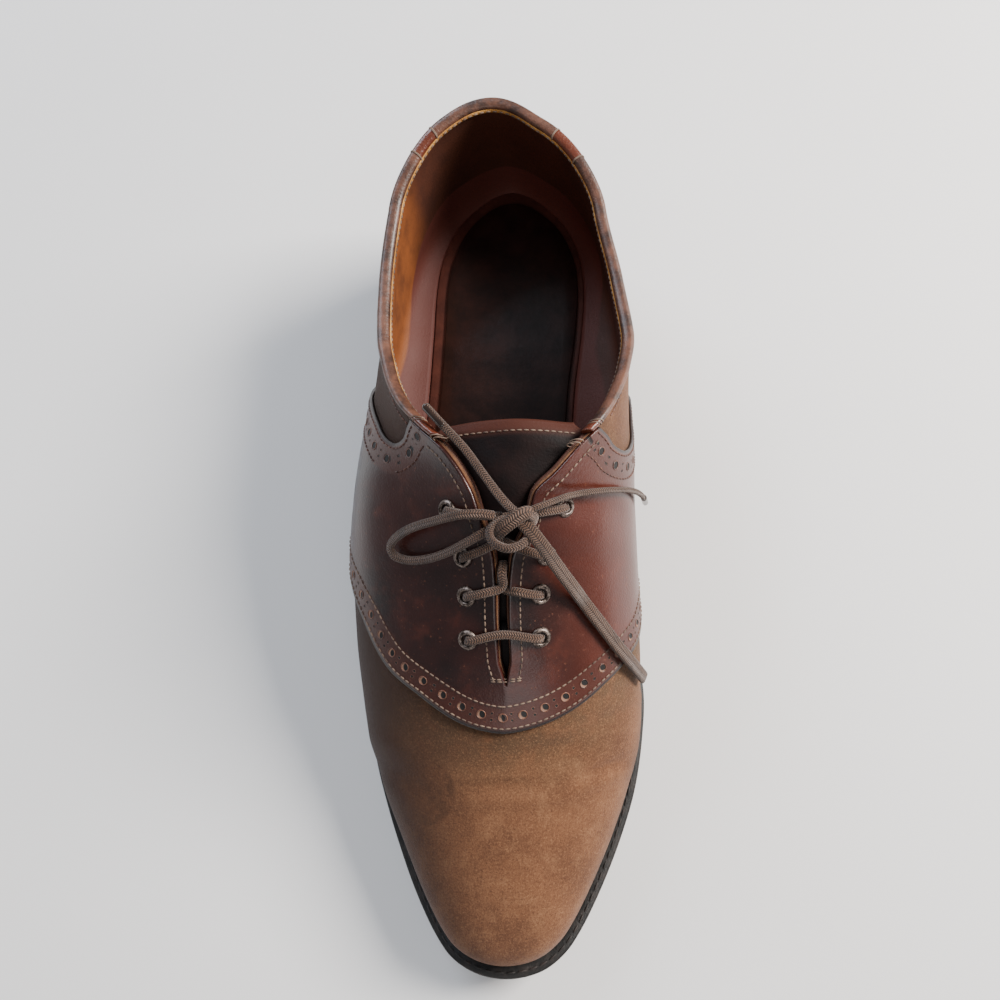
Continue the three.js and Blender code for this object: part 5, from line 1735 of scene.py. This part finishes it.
    def punched(self, line: Callable[..., np.ndarray], *sides: Side) -> list[tuple]:
        """Rows of holes along the edge that a function gives on some sides."""
        rows = []
        for place in [(side,) for side in sides] or [()]:
            edge = line(*place, self.OVERLAY_GAP)
            for inset, radius, shift in SaddleLeather.HOLES:
                rows.append((edge, line(*place, self.OVERLAY_GAP + OVERLAY_WALL, inset), radius, shift))
        return rows

    def build_rims(self) -> None:
        """Raise the rims of the brogued holes."""
        punching = Punching(skin_of(self.saddle))
        punching.rims("rims_saddle_front", self.punched(self.front_line), self.finishes.rim)
        punching.rims("rims_saddle_rear", self.punched(self.rear_line, *SIDES), self.finishes.rim)
        punching = Punching(skin_of(self.counter))
        punching.rims("rims_counter", self.punched(self.counter_line, *SIDES), self.finishes.rim)

    def build_stitches(self) -> None:
        """Sew the seams of the upper."""
        lift = self.OVERLAY_GAP + OVERLAY_WALL
        bands = (SaddleLeather.OUTER_STITCH, SaddleLeather.INNER_STITCH)
        sewing = Stitching(skin_of(self.saddle))
        trim = slice(self.HIDDEN, -self.HIDDEN)
        lines = [self.front_line(lift, inset)[trim] for inset in bands]
        sewing.row("seam_saddle_front", lines, self.finishes.thread)
        trim = slice(self.HIDDEN, -4)
        lines = [self.rear_line(side, lift, inset)[trim] for side in SIDES for inset in bands]
        sewing.row("seam_saddle_rear", lines, self.finishes.dark_thread)
        lines = [self.throat_line(side, lift, self.THROAT_SEAM)[4:] for side in SIDES]
        ends = [line[0] for line in lines]
        for k in range(self.TACKS):
            back = np.array([0.0, k * self.TACK_STEP, 0.0])
            lines.append(np.linspace(ends[0] - back, ends[1] - back, 12))
        sewing.row("seam_throat", lines, self.finishes.thread)
        sewing = Stitching(skin_of(self.counter))
        lines = [self.counter_line(side, lift, inset)[trim] for side in SIDES for inset in bands]
        sewing.row("seam_counter", lines, self.finishes.dark_thread)
        self.sew_topline()
        sewing = Stitching(skin_of(self.tongue))
        sewing.row("seam_tongue", [self.tongue_line], self.finishes.thread)

    def sew_topline(self) -> None:
        """Sew the seam under the binding, from the saddle's rear edge round the heel."""
        walks = np.linspace(self.last.walk_at(self.TOPLINE_START), 3.0, 200)

        def half(side: Side) -> np.ndarray:
            planes = self.last.planes(side, walks)
            rows = 1 - self.TOPLINE_SEAM / (1.15 * (planes.top - planes.waist))
            return self.last.surface(side, walks, rows, 0.002)

        sewing = Stitching(skin_of(self.body, self.counter, self.saddle))
        sewing.row("seam_topline", [round_trip(half, skip=1)], self.finishes.dark_thread)

    def build(self) -> None:
        """Make the whole upper."""
        self.body = self.build_body()
        self.build_lining()
        self.saddle = self.build_saddle()
        self.counter = self.build_counter()
        self.build_binding()
        self.build_edging()
        self.build_windings()
        self.tongue = self.build_tongue()
        self.build_stitches()
        self.build_rims()


@dataclass
class Sole:
    """Outsole, welt, heel, insole and heel pad."""

    last: Last
    finishes: Finishes

    ROUND = 260
    HEEL_INSET = 0.0005
    INSOLE_INSET = 0.0004
    WELT_SEAM = 0.0021
    PAD_LATERAL = 0.0020

    def build_outsole(self) -> bpy.types.Object:
        """Make the outsole as one closed slab with rounded edges."""
        walks = self.last.even_walks(self.ROUND, 0, 3)
        profile = table(
            "inset share", (0.0022, 1.0), (0.0009, 0.99), (0.0002, 0.90), (0.0, 0.72), (0.0, 0.42),
            (0.0003, 0.20), (0.0010, 0.05), (0.0020, 0.0),
        )
        lines = []
        for share in (0.0, 0.35, 0.7, 0.93):
            lines.append((lambda p, k=share: p.sole * k, lambda at: sole_bottom(at) + SOLE_THICKNESS))
        for inset, share in zip(profile["inset"], profile["share"]):
            lines.append((
                lambda p, k=inset: p.sole - k,
                lambda at, k=share: sole_bottom(at) + SOLE_THICKNESS * k,
            ))
        for share in (0.93, 0.7, 0.35, 0.0):
            lines.append((lambda p, k=share: p.sole * k, sole_bottom))
        outsole = stack_grid("outsole_slab", self.last, walks, lines)
        return finish_piece(outsole, [self.finishes.edge], ["outsole"])

    def build_welt(self) -> bpy.types.Object:
        """Make the welt as a ring round the foot of the upper."""
        walks = self.last.even_walks(self.ROUND, 0, 3)
        base = SOLE_THICKNESS + CLEARANCE
        profile = table(
            "inset share", (0.0014, 0.0), (0.0004, 0.10), (0.0, 0.35), (0.0, 0.68), (0.0004, 0.90),
            (0.0013, 1.0), (0.0030, 1.0),
        )
        inner = UPPER_WALL + 2 * CLEARANCE
        lines = [(lambda p: p.feather - inner, lambda at: sole_bottom(at) + base)]
        for inset, share in zip(profile["inset"], profile["share"]):
            lines.append((
                lambda p, k=inset: p.sole - k,
                lambda at, k=share: sole_bottom(at) + base + WELT_THICKNESS * k,
            ))
        lines.append((lambda p: p.feather - inner, welt_top))
        lines.append(lines[0])
        welt = stack_grid("welt_ring", self.last, walks, lines)
        ring = sole_ring(self.last, walks, lambda p: p.sole - self.WELT_SEAM, welt_top)
        Stitching(skin_of(welt)).row("seam_welt", [ring], self.finishes.welt_thread, 0.0036, 1.2)
        return finish_piece(welt, [self.finishes.edge], ["welt"])

    def slab(self, name: str, inset: Callable, low: Callable, high: Callable, bevel: float,
             start: float | None = None) -> bpy.types.Object:
        """Make a closed slab with rounded edges.

        Args:
            name: The piece's name.
            inset: Reach of the slab's edge in the planes.
            low: Height of its underside at a station.
            high: Height of its top at a station.
            bevel: How far its edges are rounded.
            start: Where along Y the slab starts, for one that is cut off straight.

        Returns:
            The piece.
        """
        walks = self.last.even_walks(self.ROUND, 0, 3)
        lines = [(lambda p, k=k: inset(p) * k, high) for k in (0.0, 0.4, 0.8)]
        lines += [
            (lambda p: inset(p) - bevel, high),
            (lambda p: inset(p) - 0.3 * bevel, lambda at: high(at) - 0.3 * bevel),
            (inset, lambda at: high(at) - bevel),
            (inset, lambda at: low(at) + bevel),
            (lambda p: inset(p) - 0.3 * bevel, lambda at: low(at) + 0.3 * bevel),
            (lambda p: inset(p) - bevel, low),
        ]
        lines += [(lambda p, k=k: inset(p) * k, low) for k in (0.8, 0.4, 0.0)]
        piece = stack_grid(name, self.last, walks, lines)
        if start is not None:
            in_edit_mode(piece, lambda: bpy.ops.mesh.bisect(
                plane_co=(0, start, 0), plane_no=(0, 1, 0), use_fill=True, clear_inner=True,
            ))
            outward(piece)
            piece.data.set_sharp_from_angle(angle=math.radians(40))
        return piece

    def build_insole(self) -> bpy.types.Object:
        """Make the insole inside the welt."""
        base = SOLE_THICKNESS + CLEARANCE
        insole = self.slab(
            "insole_board", lambda p: p.feather - self.INSOLE_INSET, lambda at: sole_bottom(at) + base,
            lambda at: sole_bottom(at) + base + INSOLE_THICKNESS, 0.0008,
        )
        return finish_piece(insole, [self.finishes.insole], ["insole"])

    def build_pad(self) -> bpy.types.Object:
        """Make the glossy pad under the heel of the foot."""
        base = SOLE_THICKNESS + 2 * CLEARANCE + INSOLE_THICKNESS - 0.0002

        def reach(planes: Planes) -> np.ndarray:
            inset = np.interp(planes.dx, (-1, 0, 1), (self.PAD_LATERAL, HEEL_PAD_INSET, 0.0))
            return planes.feather - UPPER_WALL - 3 * CLEARANCE - inset

        pad = self.slab(
            "heel_pad_leaf", reach, lambda at: sole_bottom(at) + base,
            lambda at: sole_bottom(at) + base + HEEL_PAD_THICKNESS, 0.0005, float(station_y(HEEL_PAD_START)),
        )
        return finish_piece(pad, [self.finishes.pad], ["heel_pad"])

    def build_heel(self) -> None:
        """Make the heel's lifts and its top piece."""
        breast = SOLE_LENGTH / 2 - HEEL_LENGTH
        lifts = 3
        low = TOP_PIECE + CLEARANCE
        each = (HEEL_HEIGHT - CLEARANCE - low) / lifts
        pieces = []
        for k in range(lifts):
            foot, head = low + k * each, low + (k + 1) * each
            pieces.append(self.slab(
                f"lift_{k + 1}", lambda p: p.sole - self.HEEL_INSET, lambda at, z=foot: 0 * at + z,
                lambda at, z=head: 0 * at + z, 0.0003, breast,
            ))
        stack = join_pieces("heel_lifts", pieces)
        finish_piece(stack, [self.finishes.edge], ["heel_stack"])
        top_piece = self.slab(
            "heel_rubber", lambda p: p.sole - self.HEEL_INSET, lambda at: 0 * at,
            lambda at: 0 * at + TOP_PIECE, 0.0005, breast,
        )
        finish_piece(top_piece, [self.finishes.rubber], ["heel_top_piece"])

    def build(self) -> None:
        """Make the whole sole."""
        self.build_outsole()
        self.build_welt()
        self.build_insole()
        self.build_pad()
        self.build_heel()


@dataclass
class Lacing:
    """Eyelets, crossings, bow and knot."""

    last: Last
    finishes: Finishes

    OVER = 0.0003 + OVERLAY_WALL
    TILT = 20.0
    FORWARD = -0.25
    RING_TILT = 0.9
    WRAP_LIFT = 0.006
    THIN_END = 0.0019
    DIVE = 0.012

    def free_run(self, name: str, route, width: float, depth: float, node: str) -> None:
        path = catmull_rom(route, LACE_SAMPLES)
        run = sweep(name, path, self.ups(path), width, depth)
        finish_piece(run, [self.finishes.lace], [node])
        length = float(arc_lengths(path)[-1])
        [tuple(point) for point in resample(path, 0.002)]

    def ups(self, path: np.ndarray) -> np.ndarray:
        """Directions that the lace's flat face looks in along a path over the instep."""
        tilt = self.TILT * (path[:, 0] - KNOT_CENTRE[0])
        return unit(np.stack([tilt, np.full_like(tilt, self.FORWARD), np.ones_like(tilt)], axis=1))

    def aglet(self, name: str, line, node: str) -> bpy.types.Object:
        """Make the tip of one end."""
        path = np.linspace(*line, 12)
        tip = sweep(name, path, self.ups(path), 0.0023, 0.0021, step=0.0006, blunt=1.0)
        return finish_piece(tip, [self.finishes.aglet], [node])

    def build_cords(self) -> None:
        """Lay the loops and ends of the bow."""
        tip_lateral = self.aglet("tip_lateral", AGLET_LATERAL, "aglet_lateral")
        tip_medial = self.aglet("tip_medial", AGLET_MEDIAL, "aglet_medial")
        self.free_run("bow_loop_lateral", LOOP_LATERAL, LACE_WIDTH, LACE_DEPTH, "lace_loop_lateral")
        self.free_run("bow_loop_medial", LOOP_MEDIAL, FOLDED_WIDTH, FOLDED_DEPTH, "lace_loop_medial")
        self.free_run("bow_end_lateral", END_LATERAL + AGLET_LATERAL, LACE_WIDTH * 0.94, LACE_DEPTH,
                      "lace_end_lateral")
        self.free_run("bow_end_medial", END_MEDIAL + AGLET_MEDIAL, self.THIN_END, LACE_DEPTH * 0.8,
                      "lace_end_medial")

    def build_eyelets(self) -> None:
        """Make the four pairs of eyelets."""
        profile = np.array([
            (EYELET_HOLE, -0.0016), (EYELET_HOLE, 0.0004), (EYELET_HOLE + 0.00012, 0.00068),
            (EYELET_HOLE + 0.00040, EYELET_RISE), (EYELET_HOLE + 0.00080, EYELET_RISE * 0.98),
            (EYELET_FLANGE - 0.0003, 0.00045), (EYELET_FLANGE, 0.00012), (EYELET_FLANGE - 0.0001, 0.0),
            (EYELET_HOLE + 0.0004, 0.0), (EYELET_HOLE + 0.0004, -0.0016), (EYELET_HOLE, -0.0016),
        ])
        turns = np.linspace(0, 2 * np.pi, 33)
        for side in SIDES:
            for k in range(len(EYELET_ROWS)):
                centre, normal = self.eyelet(side, k)
                across = unit(np.cross(normal, (0.0, 1.0, 0.0)))
                ahead = np.cross(normal, across)
                ring = np.cos(turns)[:, None] * across + np.sin(turns)[:, None] * ahead
                points = centre + profile[:, None, :1] * ring[None] + profile[:, None, 1:] * normal
                piece = grid_piece(f"eyelet_ring_{side}_{k + 1}", points)
                outward(piece)
                finish_piece(piece, [self.finishes.metal], [f"eyelet_{side}_{k + 1}"])

    def eyelet(self, side: Side, k: int) -> tuple[np.ndarray, np.ndarray]:
        """Centre of an eyelet on the saddle's face, and the direction it looks in."""
        along = EYELET_ROWS[k]
        edge = float(self.last.planes(side, float(self.last.walk_at(along))).edge)
        return self.last.spot(side, along, edge + EYELET_INSET, self.OVER)

    def strand(self, side: Side, k: int, meet: np.ndarray, meet_at: float) -> list[np.ndarray]:
        """Points of a strand from an eyelet to the middle of the throat."""
        centre, normal = self.eyelet(side, k)
        halfway = (EYELET_ROWS[k] + meet_at) / 2
        edge = float(self.last.planes(side, float(self.last.walk_at(halfway))).edge)
        lip, lip_way = self.last.spot(side, halfway, edge + 0.0022, self.OVER)
        way = meet - centre
        way = unit(way - normal * (way @ normal))
        return [
            centre - normal * 0.0030 - way * 0.0003,
            centre - normal * 0.0006,
            centre + normal * 0.0012 + way * 0.0005,
            centre + normal * 0.0018 + way * 0.0021,
            lip + lip_way * 0.0012,
            meet,
        ]

    def cross(self, along: float, rise: float) -> np.ndarray:
        """Point over the middle of the throat."""
        planes = self.last.planes(Side.LATERAL, float(self.last.walk_at(along)))
        return np.array([float(planes.ox), float(planes.oy), float(planes.top) + self.OVER + rise])

    def lay(self, name: str, points: Sequence[np.ndarray]) -> bpy.types.Object:
        """Lay one length of the lace through points over the throat."""
        path = catmull_rom(points, LACE_SAMPLES)
        return sweep(name, path, self.ups(path), LACE_WIDTH, LACE_DEPTH)

    def build_crossings(self) -> None:
        """Run the lace through the eyelets, over the throat."""
        for k, along in enumerate(CROSSINGS):
            dives = k == len(CROSSINGS) - 1
            strands = []
            for side, rise in ((Side.LATERAL, 0.0016), (Side.MEDIAL, 0.0)):
                first = along - self.DIVE if dives else along
                meet = self.cross(first, rise - 0.0026 if dives else rise)
                points = self.strand(side, k, meet, first)
                if dives:
                    points += [self.cross(along, rise - 0.0014), self.cross(along + self.DIVE, rise - 0.0046)]
                strands.append(self.lay(f"strand_{side}_{k + 1}", points))
            crossing = join_pieces(f"crossing_{k + 1}", strands)
            finish_piece(crossing, [self.finishes.lace], [f"lace_cross_{k + 1}"])
        last_pair = len(EYELET_ROWS) - 1
        meet = self.cross(EYELET_ROWS[last_pair], 0.0006)
        left, right = (self.strand(side, last_pair, meet, EYELET_ROWS[last_pair])[:-2] for side in SIDES)
        bar = self.lay("lace_bottom_bar", [*left, meet, *right[::-1]])
        finish_piece(bar, [self.finishes.lace], ["lace_bar"])

    def build_knot(self) -> None:
        """Make the knot from a ring of the lace, a wrap laid over it and the lead to one end."""
        ring, wrap, lead = (catmull_rom(route, LACE_SAMPLES) for route in (KNOT_RING, KNOT_WRAP, KNOT_LEAD))
        ring_ups = unit(ring - np.mean(KNOT_RING, axis=0)) + (0.0, 0.0, self.RING_TILT)
        wrap_ups = wrap - KNOT_CENTRE + (0, 0, self.WRAP_LIFT)
        knot = join_pieces("bow_knot", [
            sweep("knot_ring", ring, ring_ups, LACE_WIDTH, LACE_DEPTH),
            sweep("knot_wrap", wrap, wrap_ups, FOLDED_WIDTH, LACE_DEPTH),
            sweep("knot_lead", lead, self.ups(lead), LACE_WIDTH, LACE_DEPTH),
        ])
        finish_piece(knot, [self.finishes.lace], ["lace_knot"])


@dataclass
class Studio:
    """Camera, floor and lights."""

    finishes: Finishes

    LENS = 28.44
    SENSOR = 36.0
    SHIFT = -0.118
    PLACE = (0.03194, -0.0753, 0.307)
    TURN = (
        (0.998852, 0.030731, -0.036746),
        (-0.040118, 0.955842, -0.291132),
        (0.026177, 0.292272, 0.955977),
    )

    def build_camera(self) -> None:
        """Place the camera as the photograph has it."""
        data = bpy.data.cameras.new("camera")
        data.lens = self.LENS
        data.sensor_width = self.SENSOR
        data.shift_x = self.SHIFT
        data.clip_start = 0.01
        camera = bpy.data.objects.new("camera", data)
        camera.matrix_world = Matrix.Translation(self.PLACE) @ Matrix(self.TURN).to_4x4()
        bpy.context.scene.collection.objects.link(camera)
        bpy.context.scene.camera = camera

    def build_floor(self) -> None:
        """Lay the floor under the shoe."""
        select()
        bpy.ops.mesh.primitive_plane_add(size=6)
        floor = bpy.context.active_object
        floor.name = "floor"
        paint(floor, self.finishes.floor)

    @staticmethod
    def lamp(name: str, place, target, size: tuple[float, float], power: float, tint) -> None:
        """Add one soft box."""
        data = bpy.data.lights.new(name, "AREA")
        data.shape = "RECTANGLE"
        data.size, data.size_y = size
        data.energy = power
        data.color = tint
        lamp = bpy.data.objects.new(name, data)
        way = Vector(target) - Vector(place)
        lamp.matrix_world = Matrix.Translation(place) @ way.to_track_quat("-Z", "Y").to_matrix().to_4x4()
        bpy.context.scene.collection.objects.link(lamp)

    def build_lights(self) -> None:
        """Add the soft boxes and the surrounding light."""
        self.lamp("key", (0.85, 0.30, 0.72), (0, 0, 0.04), (0.45, 0.45), 32.0, (1.0, 0.96, 0.91))
        self.lamp("sky", (-0.55, 0.75, 0.75), (0, 0, 0.05), (0.6, 0.5), 9.0, (0.78, 0.87, 1.0))
        self.lamp("toe", (0.1, -1.0, 0.8), (0, -0.05, 0.03), (0.9, 0.6), 3.5, (1.0, 0.98, 0.96))
        world = bpy.data.worlds.new("studio")
        world.use_nodes = True
        background = world.node_tree.nodes["Background"]
        background.inputs["Color"].default_value = (0.93, 0.95, 1.0, 1.0)
        background.inputs["Strength"].default_value = 0.27
        bpy.context.scene.world = world


def main() -> None:
    """Dress the frame as the shoe of the photograph."""
    logging.basicConfig(level=logging.INFO, format="%(name)s %(message)s")
    finishes = Finishes()
    studio = Studio(finishes)
    studio.build_camera()
    last = Last()
    lacing = Lacing(last, finishes)
    lacing.build_cords()
    upper = Upper(last, finishes)
    upper.build()
    sole = Sole(last, finishes)
    sole.build()
    lacing.build_eyelets()
    lacing.build_crossings()
    lacing.build_knot()
    studio.build_floor()
    studio.build_lights()


if __name__ == "__main__":
    main()
